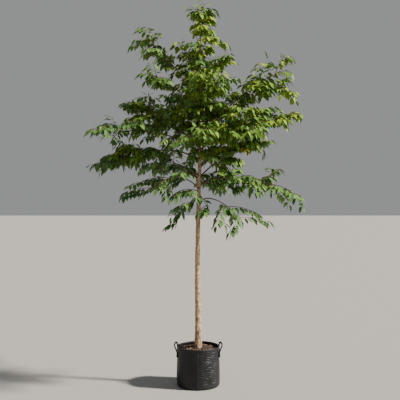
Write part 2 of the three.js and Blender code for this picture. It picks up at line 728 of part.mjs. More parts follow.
function build() {
  const tree = new THREE.Group();
  tree.add(meshOf("trunk", trunkSolid(0), COLOURS.bark));

  const grownTrunk = trunkSolid(GAP);
  let limbsAndTrunk = grownTrunk;
  const stems = new Map();
  for (const limb of limbs) {
    if (limb.kind === "bough") {
      const bough = limbSolid(limb, 0, limb.start, LIMB.sides, LIMB.rings);
      tree.add(meshOf(`bough_${limb.name}`, largestPiece(bough.subtract(grownTrunk)), COLOURS.branch));
      limbsAndTrunk = limbsAndTrunk.add(limbSolid(limb, 0, limb.start, LIMB.sides, LIMB.rings, GAP));
    }
    stems.set(limb, limbSolid(limb, limb.start, 1, STEM.sides, STEM.rings, GAP));
  }

  limbs.forEach((limb, i) => {
    let obstacles = limbsAndTrunk;
    for (const [owner, stem] of stems) if (owner !== limb) obstacles = obstacles.add(stem);
    const finish = i % YOUNG_EVERY === 1 ? COLOURS.youngLeaf : COLOURS.leaf;
    tree.add(meshOf(`foliage_${limb.name}`, foliageSolid(limb, i + 1, obstacles), finish));
  });

  tree.add(meshOf("root_bag", bagSolid(), COLOURS.bag));
  tree.add(meshOf("root_ball", rootBallSolid(), COLOURS.soil));
  const envelope = bagEnvelope();
  tree.add(meshOf("handle_left", handleSolid(Math.PI, -1, envelope), COLOURS.webbing));
  tree.add(meshOf("handle_right", handleSolid(0, 1, envelope), COLOURS.webbing));
  return tree;
}

export default build();
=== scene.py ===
"""Looks of a young standard tree in full leaf, growing in a black fabric root bag with two handles.

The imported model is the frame. Every piece is in metres in its frame: +Z up, +X to the right, +Y away
from the camera, with the origin on the ground at the middle of the bag's flat underside. The crown
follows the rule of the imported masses: the same limbs and the same twigs, carried on to finer twigs
with leaves of their real size.
"""

from __future__ import annotations

import logging
import math
from collections.abc import Callable, Sequence
from dataclasses import dataclass, field, replace
from enum import Enum

import bmesh
import bpy
import numpy as np
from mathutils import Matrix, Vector


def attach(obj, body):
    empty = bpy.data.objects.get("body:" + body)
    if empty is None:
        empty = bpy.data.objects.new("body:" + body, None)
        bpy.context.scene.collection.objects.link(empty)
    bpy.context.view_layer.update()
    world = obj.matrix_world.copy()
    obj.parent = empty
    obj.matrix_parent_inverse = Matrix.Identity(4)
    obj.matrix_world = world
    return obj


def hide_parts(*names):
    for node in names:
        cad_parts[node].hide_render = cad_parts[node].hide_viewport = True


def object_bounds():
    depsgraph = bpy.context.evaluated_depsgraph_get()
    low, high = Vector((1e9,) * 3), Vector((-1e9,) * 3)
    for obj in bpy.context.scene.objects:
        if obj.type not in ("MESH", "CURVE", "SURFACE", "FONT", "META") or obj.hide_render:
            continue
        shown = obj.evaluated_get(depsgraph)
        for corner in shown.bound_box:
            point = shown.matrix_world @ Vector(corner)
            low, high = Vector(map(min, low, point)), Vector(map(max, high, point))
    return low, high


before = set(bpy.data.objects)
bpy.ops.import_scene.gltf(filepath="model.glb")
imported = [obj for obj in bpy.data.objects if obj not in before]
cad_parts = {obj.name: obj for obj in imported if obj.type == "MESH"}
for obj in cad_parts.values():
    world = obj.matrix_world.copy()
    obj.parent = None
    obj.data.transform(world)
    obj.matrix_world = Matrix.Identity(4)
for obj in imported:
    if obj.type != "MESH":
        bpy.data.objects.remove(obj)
CAD_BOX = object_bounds()

log = logging.getLogger("tree")

Array = np.ndarray
Chance = np.random.Generator
Colour = tuple[float, float, float, float]
Faces = list[tuple[int, ...]]
Inputs = dict[object, object]
Piece = bpy.types.Object
Place = tuple[float, float, float]
Span = tuple[float, float]
Layers = tuple[tuple[float, float | Place, int], ...]
Value = bpy.types.NodeSocket

UP = np.array((0.0, 0.0, 1.0))
ACROSS = np.array((1.0, 0.0, 0.0))
STEEP = 0.9
GOLDEN_TURN = math.radians(137.5)
EYE = (0.015, -5.52, 1.63)
ROOT = "root"
WORD = 0xFFFFFFFF
DRAW_STEP = 0x6D2B79F5
NOISE_PRIMES = np.array((73856093, 19349663, 83492791))
NOISE_SEEDING = 2654435761
NOISE_MIXING = ((15, 2246822519), (13, 3266489917))
NOISE_BITS = 0xFFFFFF


# Numbers and directions


def lerp(low: Array | float, high: Array | float, share: Array | float) -> Array | float:
    """Return the value at a share of the way from low to high."""
    return low + (high - low) * share


def unit(vectors: Array) -> Array:
    """Return the vectors at length 1."""
    return vectors / np.maximum(np.linalg.norm(vectors, axis=-1, keepdims=True), 1e-12)


def smooth_step(low: float, high: float, value: Array | float) -> Array:
    """Return 0 below low, 1 above high and a smooth rise between them."""
    share = np.clip((value - low) / (high - low), 0.0, 1.0)
    return share * share * (3.0 - 2.0 * share)


def column(share: Array | float) -> Array:
    """Return one share or several as a column."""
    return np.atleast_1d(np.asarray(share, float))[:, None]


def polar(radius: Array | float, turn: Array | float, height: Array | float) -> Array:
    """Return places by their distance from the middle, their turn and their height, one a row."""
    radius, turn, height = np.broadcast_arrays(radius, turn, height)
    return np.stack([radius * np.cos(turn), radius * np.sin(turn), height], axis=-1)


def plateau(rise: Span, fall: Span, value: Array) -> Array:
    """Return 1 between a smooth rise and a smooth fall, and 0 outside them."""
    return smooth_step(*rise, value) * (1.0 - smooth_step(*fall, value))


def turns_of(sides: int) -> Array:
    """Return the turns of a ring's points."""
    return np.arange(sides) * math.tau / sides


def seeded_draws(seed: int) -> Callable[[], float]:
    """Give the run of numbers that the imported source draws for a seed.

    Args:
        seed: The seed of the run.

    Returns:
        A function that returns the next number, from 0 to 1.
    """
    state = seed & WORD

    def draw() -> float:
        """Draw the next number.

        Returns:
            The number.
        """
        nonlocal state
        state = (state + DRAW_STEP) & WORD
        mixed = ((state ^ (state >> 15)) * (state | 1)) & WORD
        mixed ^= (mixed + (((mixed ^ (mixed >> 7)) * (mixed | 61)) & WORD)) & WORD
        return ((mixed ^ (mixed >> 14)) & WORD) / (WORD + 1)

    return draw


def across_curve(tangents: Array) -> tuple[Array, Array]:
    """Give two directions across a curve at each tangent.

    Args:
        tangents: Unit tangents, one a row.

    Returns:
        The level direction to the side, and the direction up from the curve.
    """
    steep = np.abs(tangents[:, 2:3]) > STEEP
    side = unit(np.cross(tangents, np.where(steep, ACROSS, UP)))
    return side, np.cross(side, tangents)


def lattice_noise(places: Array, seed: int) -> Array:
    """Give a smooth, seeded noise over space, from -1 to 1.

    Args:
        places: Points, one a row, already scaled so that the noise changes over about 1.
        seed: The seed of the noise.

    Returns:
        One value for each point.
    """
    cell = np.floor(places).astype(np.int64)
    part = places - cell
    part = part * part * (3.0 - 2.0 * part)
    total = np.zeros(len(places))
    for corner in range(8):
        step = np.array((corner & 1, corner >> 1 & 1, corner >> 2 & 1))
        mixed = np.bitwise_xor.reduce((cell + step) * NOISE_PRIMES, axis=1)
        mixed = (mixed + seed * NOISE_SEEDING) & WORD
        for shift, factor in NOISE_MIXING:
            mixed = ((mixed ^ (mixed >> shift)) * factor) & WORD
        value = (mixed & NOISE_BITS) / (NOISE_BITS >> 1) - 1.0
        total += value * np.where(step, part, 1.0 - part).prod(axis=1)
    return total


def layered_noise(places: Array, layers: Layers) -> Array:
    """Return the sum of layers of noise, each by its depth, its size in metres and its seed."""
    return sum(depth * lattice_noise(places / size, seed) for depth, size, seed in layers)


# Making meshes


def deselect_all() -> None:
    """Leave nothing selected and no object in edit mode."""
    if bpy.context.object and bpy.context.object.mode != "OBJECT":
        bpy.ops.object.mode_set(mode="OBJECT")
    bpy.ops.object.select_all(action="DESELECT")


def activate(piece: Piece) -> None:
    """Make a piece the only selected object, and the active one.

    Args:
        piece: The piece.
    """
    deselect_all()
    piece.select_set(True)
    bpy.context.view_layer.objects.active = piece


def apply_modifier(piece: Piece, kind: str, **settings: object) -> None:
    """Add a modifier to a piece and apply it.

    Args:
        piece: The piece to change.
        kind: Blender's name for the kind of modifier.
        **settings: Values for the modifier's own properties.
    """
    activate(piece)
    modifier = piece.modifiers.new(kind.title(), kind)
    for key, value in settings.items():
        setattr(modifier, key, value)
    bpy.ops.object.modifier_apply(modifier=modifier.name)


def points_of(piece: Piece, what: str = "co") -> Array:
    """Read a piece's mesh points.

    Args:
        piece: The piece.
        what: What to read of them: their places, or "normal" for their normals.

    Returns:
        The places or normals, one a row.
    """
    flat = np.empty(len(piece.data.vertices) * 3)
    piece.data.vertices.foreach_get(what, flat)
    return flat.reshape(-1, 3)


def move_points(piece: Piece, points: Array) -> None:
    """Put a piece's mesh points in new places."""
    piece.data.vertices.foreach_set("co", points.astype(np.float32).ravel())
    piece.data.update()


def faces_of(piece: Piece) -> Faces:
    """Return the point numbers round each face of a piece."""
    return [tuple(face.vertices) for face in piece.data.polygons]


def corners_of(mesh: bpy.types.Mesh) -> Array:
    """Read the point number at each face corner of a mesh.

    Args:
        mesh: The mesh.

    Returns:
        The numbers, in the order of the mesh's corners.
    """
    corners = np.empty(len(mesh.loops), np.int32)
    mesh.loops.foreach_get("vertex_index", corners)
    return corners


def lay_map(mesh: bpy.types.Mesh, name: str, spots: Array) -> None:
    """Give a mesh a UV map, from the place of each face corner on it."""
    mesh.uv_layers.new(name=name).data.foreach_set("uv", spots.astype(np.float32).ravel())


def loft(name: str, rings: Sequence[Array]) -> Piece:
    """Extrude a circle from ring to ring, and fill both ends.

    Args:
        name: The piece's name.
        rings: The rings of the form, from foot to end, each with the same number of points.

    Returns:
        The new piece, with its normals outwards.
    """
    deselect_all()
    bpy.ops.mesh.primitive_circle_add(vertices=len(rings[0]), radius=1.0, fill_type="NOTHING")
    piece = bpy.context.object
    piece.name = piece.data.name = name
    bpy.ops.object.mode_set(mode="EDIT")
    shape = bmesh.from_edit_mesh(piece.data)
    spoke = shape.verts.layers.int.new("spoke")
    for number, vert in enumerate(shape.verts):
        vert[spoke] = number
    bpy.ops.mesh.select_all(action="SELECT")
    for number, ring in enumerate(rings):
        if number:
            step = ring.mean(axis=0) - rings[number - 1].mean(axis=0)
            bpy.ops.mesh.extrude_region_move(TRANSFORM_OT_translate={"value": tuple(step)})
        shape = bmesh.from_edit_mesh(piece.data)
        spoke = shape.verts.layers.int["spoke"]
        for vert in shape.verts:
            if vert.select:
                vert.co = ring[vert[spoke]]
        bmesh.update_edit_mesh(piece.data)
    bpy.ops.mesh.select_all(action="SELECT")
    bpy.ops.mesh.fill_holes(sides=0)
    bpy.ops.mesh.select_all(action="SELECT")
    bpy.ops.mesh.normals_make_consistent(inside=False)
    bpy.ops.object.mode_set(mode="OBJECT")
    piece.data.attributes.remove(piece.data.attributes["spoke"])
    return piece


@dataclass
class JoinedParts:
    """Many small copies gathered into one mesh."""

    points: list[Array] = field(default_factory=list)
    faces: Faces = field(default_factory=list)
    spots: list[Array] = field(default_factory=list)
    count: int = 0

    def add(self, points: Array, faces: Faces, spots: Array | None = None) -> None:
        """Add one part.

        Args:
            points: The part's points, one a row.
            faces: The point numbers round each of its faces.
            spots: The points' places on the UV map, if the piece has one.
        """
        self.faces.extend(tuple(self.count + corner for corner in face) for face in faces)
        self.points.append(points)
        self.spots += [] if spots is None else [spots]
        self.count += len(points)

    def piece(self, name: str) -> Piece:
        """Join the parts.

        Args:
            name: The piece's name.

        Returns:
            The new piece, linked to the scene.
        """
        mesh = bpy.data.meshes.new(name)
        mesh.from_pydata(np.concatenate(self.points).tolist(), [], self.faces)
        if self.spots:
            lay_map(mesh, "shape", np.concatenate(self.spots)[corners_of(mesh)])
        mesh.update()
        piece = bpy.data.objects.new(name, mesh)
        bpy.context.scene.collection.objects.link(piece)
        return piece


def tube(points: Array, radii: Array, sides: int) -> tuple[Array, Faces]:
    """Sweep a round section along a line, with its end closed to a point.

    Args:
        points: The line's points, one a row.
        radii: The radius at each point.
        sides: How many sides the section has.

    Returns:
        The tube's points and the point numbers round its faces.
    """
    side, lift = across_curve(unit(np.gradient(points, axis=0)))
    flip = np.cumprod(np.where(np.r_[1.0, (side[1:] * side[:-1]).sum(axis=1)] < 0, -1.0, 1.0))
    side, lift = side * flip[:, None], lift * flip[:, None]
    turns = turns_of(sides)
    around = np.cos(turns)[None, :, None] * side[:, None] + np.sin(turns)[None, :, None] * lift[:, None]
    rings = points[:-1, None] + around[:-1] * radii[:-1, None, None]
    placed = np.concatenate([rings.reshape(-1, 3), points[-1:]])
    faces: Faces = []
    last = len(points) - 2
    for ring in range(last):
        for spoke in range(sides):
            here, beside = ring * sides + spoke, ring * sides + (spoke + 1) % sides
            faces.append((here, here + sides, beside + sides, beside))
    tip = len(placed) - 1
    faces.extend((last * sides + (s + 1) % sides, last * sides + s, tip) for s in range(sides))
    return placed, faces


# Finishes


class Tint(Enum):
    """The colours that leaves are dealt out in, a spray at a time: one leaf green in painted shade, half
    shade, half light and painted sunlight, and leaves turning yellow.
    """

    # The first four are lit and shaded copies of one leaf green, from painted shade to painted sunlight; the
    # last is the leaves' own yellow.
    SHADE = "shade"
    DEEP = "deep"
    FRESH = "fresh"
    LIME = "lime"
    TURNING = "turning"


class NodeSketch:
    """A node tree under construction, with short ways to add and link nodes."""

    def __init__(self, tree: bpy.types.NodeTree) -> None:
        """Keep the tree to add nodes to."""
        self.tree = tree

    def feed(self, node: bpy.types.Node, inputs: Inputs) -> None:
        """Link or set a node's inputs.

        Args:
            node: The node.
            inputs: What each input socket gets: an output socket to link, or a value.
        """
        for key, value in inputs.items():
            if isinstance(value, Value):
                self.tree.links.new(value, node.inputs[key])
            else:
                node.inputs[key].default_value = value

    def add(self, kind: str, inputs: Inputs | None = None, **settings: object) -> bpy.types.Node:
        """Add a node.

        Args:
            kind: The node's type, without its leading ShaderNode.
            inputs: What its inputs get.
            **settings: Values for the node's own properties.

        Returns:
            The node.
        """
        node = self.tree.nodes.new(kind if kind.startswith("Node") else "ShaderNode" + kind)
        for key, value in settings.items():
            setattr(node, key, value)
        self.feed(node, inputs or {})
        return node

    def math(self, operation: str, *values: object) -> Value:
        """Return the result of a maths node on the given sockets or numbers."""
        return self.add("Math", dict(enumerate(values)), operation=operation).outputs[0]

    def part(self, places: Value, axis: int) -> Value:
        """Return the places' distance along one axis."""
        return self.add("SeparateXYZ", {0: places}).outputs[axis]

    def noise(self, places: Value, scale: object, detail: float = 3.0, rough: float = 0.55) -> Value:
        """Return the value of a noise at the given places."""
        inputs = {"Vector": places, "Scale": scale, "Detail": detail, "Roughness": rough}
        return self.add("TexNoise", inputs).outputs[0]

    def stretched(self, places: Value, upright: float) -> Value:
        """Return the places with their heights scaled."""
        return self.add("Mapping", {"Vector": places, "Scale": (1.0, 1.0, upright)}).outputs[0]

    def spread(
        self, value: Value, low: float, high: float, to_low: float = 0.0, to_high: float = 1.0
    ) -> Value:
        """Return a value moved from one range to another, and held in it."""
        inputs = {"Value": value, "From Min": low, "From Max": high, "To Min": to_low, "To Max": to_high}
        return self.add("MapRange", inputs).outputs[0]

    def blend(self, share: Value, first: object, second: object) -> Value:
        """Return a colour blended from first to second by a share."""
        return self.add("Mix", {0: share, 6: first, 7: second}, data_type="RGBA").outputs[2]


@dataclass(frozen=True)
class NodeGroup:
    """A node group that several materials place, each with its own values."""

    name: str
    inputs: dict[str, str]
    outputs: dict[str, str]
    draw: Callable[[NodeSketch, bpy.types.bpy_prop_collection], dict[str, Value]]

    def tree(self) -> bpy.types.NodeTree:
        """Build the group at the first call.

        Returns:
            The group's tree.
        """
        if self.name in bpy.data.node_groups:
            return bpy.data.node_groups[self.name]
        tree = bpy.data.node_groups.new(self.name, "ShaderNodeTree")
        for way, sockets in (("INPUT", self.inputs), ("OUTPUT", self.outputs)):
            for name, kind in sockets.items():
                tree.interface.new_socket(name, in_out=way, socket_type="NodeSocket" + kind)
        sketch = NodeSketch(tree)
        given, result = sketch.add("NodeGroupInput"), sketch.add("NodeGroupOutput")
        sketch.feed(result, self.draw(sketch, given.outputs))
        return tree


def draw_mottle(sketch: NodeSketch, given: bpy.types.bpy_prop_collection) -> dict[str, Value]:
    """Blend two colours in soft patches with fine specks over them.

    Args:
        sketch: The group's nodes.
        given: What the group is given.

    Returns:
        The colour and the mask between the two colours.
    """
    patches = sketch.spread(sketch.noise(given["Vector"], given["Scale"], 4.0, 0.5), 0.36, 0.64)
    finer = sketch.math("MULTIPLY", given["Scale"], 6.0)
    specks = sketch.spread(sketch.noise(given["Vector"], finer, 2.0, 0.5), 0.52, 0.66)
    mask = sketch.math("ADD", patches, sketch.math("MULTIPLY", specks, given["Specks"]))
    mask = sketch.math("MINIMUM", mask, 1.0)
    return {"Colour": sketch.blend(mask, given["Low"], given["High"]), "Mask": mask}


def draw_weave(sketch: NodeSketch, given: bpy.types.bpy_prop_collection) -> dict[str, Value]:
    """Raise a plain weave over a UV map laid out in metres.

    Args:
        sketch: The group's nodes.
        given: What the group is given.

    Returns:
        The height.
    """
    turn = sketch.math("MULTIPLY", given["Threads"], math.pi)
    turned = (sketch.math("MULTIPLY", sketch.part(given["Vector"], axis), turn) for axis in (0, 1))
    waves = (sketch.math("SINE", value) for value in turned)
    return {"Height": sketch.spread(sketch.math("MULTIPLY", *waves), -1.0, 1.0)}


MOTTLE = NodeGroup(
    "mottle",
    {"Vector": "Vector", "Scale": "Float", "Specks": "Float", "Low": "Color", "High": "Color"},
    {"Colour": "Color", "Mask": "Float"},
    draw_mottle,
)
WEAVE = NodeGroup("plain weave", {"Vector": "Vector", "Threads": "Float"}, {"Height": "Float"}, draw_weave)


class Surface(NodeSketch):
    """A material with a Principled shader, under construction."""

    def __init__(self, name: str, colour: Colour, roughness: float) -> None:
        """Make the material.

        Args:
            name: The material's name.
            colour: The plain base colour, also shown in the viewport.
            roughness: The plain roughness.
        """
        self.material = bpy.data.materials.new(name)
        self.material.use_nodes = True
        self.material.diffuse_color = colour
        super().__init__(self.material.node_tree)
        self.shader = self.tree.nodes["Principled BSDF"]
        self.roughness = roughness
        self.feed(self.shader, {"Base Color": colour, "Roughness": roughness})

    def group(self, group: NodeGroup, **inputs: object) -> bpy.types.bpy_prop_collection:
        """Place a node group with this material's values, and return its outputs."""
        return self.add("Group", inputs, node_tree=group.tree()).outputs

    def worn(
        self, mask: Value, smoother: float, rougher: float, low: float = 0.0, high: float = 1.0
    ) -> Value:
        """Return the roughness spread about its plain value by a mask between two levels."""
        return self.spread(mask, low, high, self.roughness + smoother, self.roughness + rougher)

    def raised(self, height: Value, strength: float, distance: float) -> Value:
        """Return the normals of a relief."""
        return self.add("Bump", {"Height": height, "Strength": strength, "Distance": distance}).outputs[0]

    def shaded(self, rough: Value, normal: Value, colour: Value | None = None) -> bpy.types.Material:
        """Link what changes over the surface to the shader.

        Args:
            rough: The roughness.
            normal: The normals.
            colour: The colour, unless the plain one stays.

        Returns:
            The finished material.
        """
        inputs = {"Roughness": rough, "Normal": normal}
        if colour is not None:
            inputs["Base Color"] = colour
        self.feed(self.shader, inputs)
        return self.material


def rgb(red: int, green: int, blue: int) -> Colour:
    """Return a colour given in screen values from 0 to 255, as Blender's linear values."""
    parts = (part / 255 for part in (red, green, blue))
    return (*(p / 12.92 if p <= 0.04045 else ((p + 0.055) / 1.055) ** 2.4 for p in parts), 1.0)


@dataclass(frozen=True)
class BarkFinish:
    """Bark: soft patches, dark streaks up the stem and pale breathing pores across it."""

    name: str
    low: Colour
    high: Colour
    upper: Colour
    pore: Colour
    streak: Colour
    upper_heights: tuple[float, float]
    relief: float = 0.0012
    roughness: float = 0.82
    upright: float = 0.28
    broad: float = 0.62
    level: float = 3.6

    def material(self) -> bpy.types.Material:
        """Make the bark's material.

        Returns:
            The material.
        """
        surface = Surface(self.name, self.low, self.roughness)
        places = surface.add("TexCoord").outputs["Object"]
        upright = surface.stretched(places, self.upright)
        broad = surface.stretched(places, self.broad)
        level = surface.stretched(places, self.level)
        patches = surface.group(MOTTLE, Vector=broad, Scale=58.0, Specks=0.35, Low=self.low, High=self.high)
        aloft = surface.spread(surface.part(places, 2), *self.upper_heights)
        colour = surface.blend(aloft, patches["Colour"], self.upper)
        streaks = surface.spread(surface.noise(upright, 150.0, 4.0, 0.65), 0.56, 0.7)
        pores = surface.spread(surface.noise(level, 95.0, 2.0), 0.6, 0.68)
        for mask, share, tone in ((streaks, 0.6, self.streak), (pores, 0.75, self.pore)):
            colour = surface.blend(surface.math("MULTIPLY", mask, share), colour, tone)
        proud = surface.math("SUBTRACT", surface.math("MULTIPLY", pores, 0.7), streaks)
        grain = surface.math("ADD", proud, surface.noise(upright, 260.0, 3.0))
        rough = surface.worn(patches["Mask"], -0.1, 0.08)
        return surface.shaded(rough, surface.raised(grain, 0.8, self.relief), colour)


@dataclass(frozen=True)
class LeafFinish:
    """A leaf: one plain colour, a waxy shine that varies and veins in slight relief."""

    name: str
    colour: Colour
    roughness: float = 0.54
    specular: float = 0.17
    veins: float = 7.0
    vein_slant: float = 0.5
    rib_width: float = 0.06

    def material(self) -> bpy.types.Material:
        """Make the leaf's material.

        Returns:
            The material.
        """
        surface = Surface(self.name, self.colour, self.roughness)
        surface.feed(surface.shader, {"Specular IOR Level": self.specular})
        places = surface.add("TexCoord").outputs
        along, aside = (surface.part(places["UV"], axis) for axis in (0, 1))
        off_rib = surface.math("ABSOLUTE", surface.math("SUBTRACT", aside, 0.5))
        slanted = surface.math("SUBTRACT", along, surface.math("MULTIPLY", off_rib, self.vein_slant))
        wave = surface.math("SINE", surface.math("MULTIPLY", slanted, self.veins * math.tau))
        rib = surface.spread(off_rib, 0.0, self.rib_width, -1.0, 0.0)
        height = surface.math("ADD", surface.math("MULTIPLY", wave, 0.3), rib)
        rough = surface.worn(surface.noise(places["Object"], 55.0, 2.0), -0.07, 0.09, 0.35, 0.65)
        return surface.shaded(rough, surface.raised(height, 0.5, 0.0009))


@dataclass(frozen=True)
class ClothFinish:
    """Woven or felted cloth over a UV map in metres."""

    name: str
    low: Colour
    high: Colour
    threads: float
    depth: float
    roughness: float
    sheen: float
    specular: float = 0.2
    dust: float = 0.0
    dust_height: float = 0.07
    dust_colour: Colour = rgb(150, 132, 110)

    def material(self) -> bpy.types.Material:
        """Make the cloth's material.

        Returns:
            The material.
        """
        surface = Surface(self.name, self.low, self.roughness)
        plain = {"Specular IOR Level": self.specular, "Sheen Weight": self.sheen, "Sheen Roughness": 0.4}
        surface.feed(surface.shader, plain)
        coordinates = surface.add("TexCoord").outputs
        places = coordinates["Object"]
        weave = surface.group(WEAVE, Vector=coordinates["UV"], Threads=self.threads)
        patches = surface.group(MOTTLE, Vector=places, Scale=16.0, Specks=0.4, Low=self.low, High=self.high)
        colour = patches["Colour"]
        if self.dust:
            low_down = surface.spread(surface.part(places, 2), 0.0, self.dust_height, 1.0, 0.0)
            flecks = surface.spread(surface.noise(places, 60.0, 4.0, 0.7), 0.42, 0.68)
            dusty = surface.math("MULTIPLY", surface.math("MULTIPLY", low_down, flecks), self.dust)
            colour = surface.blend(dusty, colour, self.dust_colour)
        height = surface.math("ADD", weave["Height"], surface.noise(places, 420.0, 3.0, 0.7))
        rough = surface.worn(patches["Mask"], -0.12, 0.0)
        return surface.shaded(rough, surface.raised(height, 0.6, self.depth), colour)


@dataclass(frozen=True)
class EarthFinish:
    """Potting soil and bark chips: two colours in specks on a rough ground."""

    name: str
    low: Colour
    high: Colour
    scale: float = 70.0
    depth: float = 0.001
    roughness: float = 0.92
    grit: float = 9.0

    def material(self) -> bpy.types.Material:
        """Make the soil's or the chips' material.

        Returns:
            The material.
        """
        surface = Surface(self.name, self.low, self.roughness)
        places = surface.add("TexCoord").outputs["Object"]
        patches = surface.group(
            MOTTLE, Vector=places, Scale=self.scale, Specks=0.6, Low=self.low, High=self.high
        )
        grit = surface.noise(places, self.scale * self.grit, 4.0, 0.7)
        rough = surface.worn(patches["Mask"], 0.0, -0.15)
        return surface.shaded(rough, surface.raised(grit, 0.8, self.depth), patches["Colour"])


Finish = BarkFinish | LeafFinish | ClothFinish | EarthFinish

TRUNK_BARK = BarkFinish(
    "trunk_bark",
    low=rgb(100, 74, 54),
    high=rgb(212, 178, 141),
    upper=rgb(92, 67, 50),
    pore=rgb(204, 176, 144),
    streak=rgb(44, 31, 22),
    upper_heights=(1.9, 2.9),
)
BOUGH_BARK = BarkFinish(
    "bough_bark",
    low=rgb(84, 60, 46),
    high=rgb(110, 82, 62),
    upper=rgb(90, 66, 50),
    pore=rgb(150, 120, 96),
    streak=rgb(60, 42, 34),
    upper_heights=(2.4, 3.2),
    relief=0.0006,
)
TWIG_BARK = BarkFinish(
    "twig_bark",
    low=rgb(82, 60, 38),
    high=rgb(100, 82, 46),
    upper=rgb(92, 84, 44),
    pore=rgb(150, 120, 90),
    streak=rgb(70, 46, 34),
    upper_heights=(2.2, 3.2),
    relief=0.0003,
    roughness=0.7,
)
# Leaf materials: the first four are one leaf green in painted shade, half shade, half light and painted
# sunlight; the turning one is the leaves' own yellow.
LEAF_FINISHES = {
    Tint.SHADE: LeafFinish("leaf_shade", rgb(80, 113, 62)),
    Tint.DEEP: LeafFinish("leaf_deep", rgb(94, 129, 62)),
    Tint.FRESH: LeafFinish("leaf_fresh", rgb(108, 140, 54)),
    Tint.LIME: LeafFinish("leaf_lime", rgb(136, 158, 52), roughness=0.56),
    Tint.TURNING: LeafFinish("leaf_turning", rgb(190, 158, 44), roughness=0.58),
}
BAG_CLOTH = ClothFinish(
    "bag_cloth", rgb(9, 11, 13), rgb(22, 25, 30), threads=700.0, depth=0.0006, roughness=0.55, sheen=0.01,
    specular=0.38, dust=0.04,
)
WEBBING = ClothFinish(
    "webbing", rgb(15, 15, 16), rgb(26, 26, 28), threads=560.0, depth=0.0009, roughness=0.7, sheen=0.02
)
THREAD = ClothFinish(
    "thread", rgb(40, 41, 43), rgb(66, 67, 69), threads=2400.0, depth=0.0002, roughness=0.6, sheen=0.2
)
SOIL_EARTH = EarthFinish("soil_earth", rgb(34, 25, 19), rgb(58, 43, 33), scale=60.0, depth=0.002)
CHIP_FINISHES = (
    EarthFinish("chips_tan", rgb(106, 86, 68), rgb(140, 118, 96)),
    EarthFinish("chips_brown", rgb(56, 41, 31), rgb(80, 60, 46)),
    EarthFinish("chips_dark", rgb(34, 26, 21), rgb(54, 41, 33)),
)
CHIP_SHARES = (0.16, 0.42, 0.42)


def dress(piece: Piece, finish: Finish, slot: str, *nodes: str, sharp: float | None = None) -> None:
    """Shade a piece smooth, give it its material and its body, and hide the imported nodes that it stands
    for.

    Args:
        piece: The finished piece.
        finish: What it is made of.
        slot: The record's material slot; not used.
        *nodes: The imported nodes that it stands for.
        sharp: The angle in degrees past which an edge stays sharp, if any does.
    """
    if sharp is None:
        piece.data.shade_smooth()
    else:
        activate(piece)
        bpy.ops.object.shade_smooth_by_angle(angle=math.radians(sharp))
    piece.data.materials.clear()
    piece.data.materials.append(finish.material())
    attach(piece, ROOT)
    if nodes:
        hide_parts(*nodes)
    log.info("%s: %d triangles", piece.name, sum(len(face.vertices) - 2 for face in piece.data.polygons))


# The tree's plan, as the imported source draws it


class LimbKind(Enum):
    """The kinds of leafy limb."""

    BOUGH = "bough"
    SPUR = "spur"
    LEADER = "leader"


class Line:
    """A line that twigs, leaves and tubes can follow. Each kind also has its length."""

    NUDGE = 1e-4

    def point(self, share: Array | float) -> Array:
        """Return the points at the given shares, one a row."""
        raise NotImplementedError

    def tangent(self, share: Array | float) -> Array:
        """Give the line's direction.

        Args:
            share: Where, as shares of the line.

        Returns:
            The unit tangents, one a row.
        """
        share = column(share)[:, 0]
        low, high = np.clip(share - self.NUDGE, 0.0, 1.0), np.clip(share + self.NUDGE, 0.0, 1.0)
        return unit(self.point(high) - self.point(low))


@dataclass(frozen=True)
class TrunkLine(Line):
    """The trunk's middle line and radius, from the soil to the foot of the leader's last shoot."""

    foot: float = 0.3243
    tip: float = 3.02
    foot_radius: float = 0.026
    tip_radius: float = 0.0045
    taper: float = 1.3
    flare: float = 0.008
    flare_height: float = 0.19
    lobes: int = 4
    lobe_height: float = 0.046
    lobe_depth: float = 0.07
    lobe_turn: float = 0.7
    lean: float = 0.024
    lean_power: float = 1.6
    bow: float = 0.010
    bow_end: float = 0.6
    depth_sway: float = 0.008

    @property
    def length(self) -> float:
        """Return the trunk's height above the soil."""
        return self.tip - self.foot

    def share(self, height: Array | float) -> Array | float:
        """Return the share of the trunk below a height."""
        return (height - self.foot) / self.length

    def point(self, share: Array | float) -> Array:
        """Follow the middle line.

        Args:
            share: Where, as shares of the trunk.

        Returns:
            The points, one a row.
        """
        share = column(share)[:, 0]
        bow = self.bow * np.sin(math.pi * np.minimum(share / self.bow_end, 1.0)) ** 2
        across = self.lean * share**self.lean_power - bow
        depth = self.depth_sway * share * np.sin(math.tau * share)
        return np.stack([across, depth, lerp(self.foot, self.tip, share)], axis=1)

    def radius(self, share: Array) -> Array:
        """Return the radius at the given shares, without the flare."""
        return self.tip_radius + (self.foot_radius - self.tip_radius) * (1.0 - share**self.taper)

    def flared_radius(self, share: Array | float, angle: Array) -> Array:
        """Give the radius with the root flare, whose swellings fade out up the trunk.

        Args:
            share: Where, as shares of the trunk.
            angle: The turns round it.

        Returns:
            The radius at each turn.
        """
        height = share * self.length
        flare = self.flare * np.exp(-height / self.flare_height)
        swelling = self.lobe_depth * np.exp(-height / self.lobe_height)
        return (self.radius(share) + flare) * (1.0 + swelling * np.cos(self.lobes * angle + self.lobe_turn))


@dataclass(frozen=True)
class LimbRow:
    """A limb's named sizes: heights and level reach in metres, heading and slopes in degrees."""

    name: str
    foot: float
    heading: float
    reach: float
    tip: float
    leave: float
    arrive: float


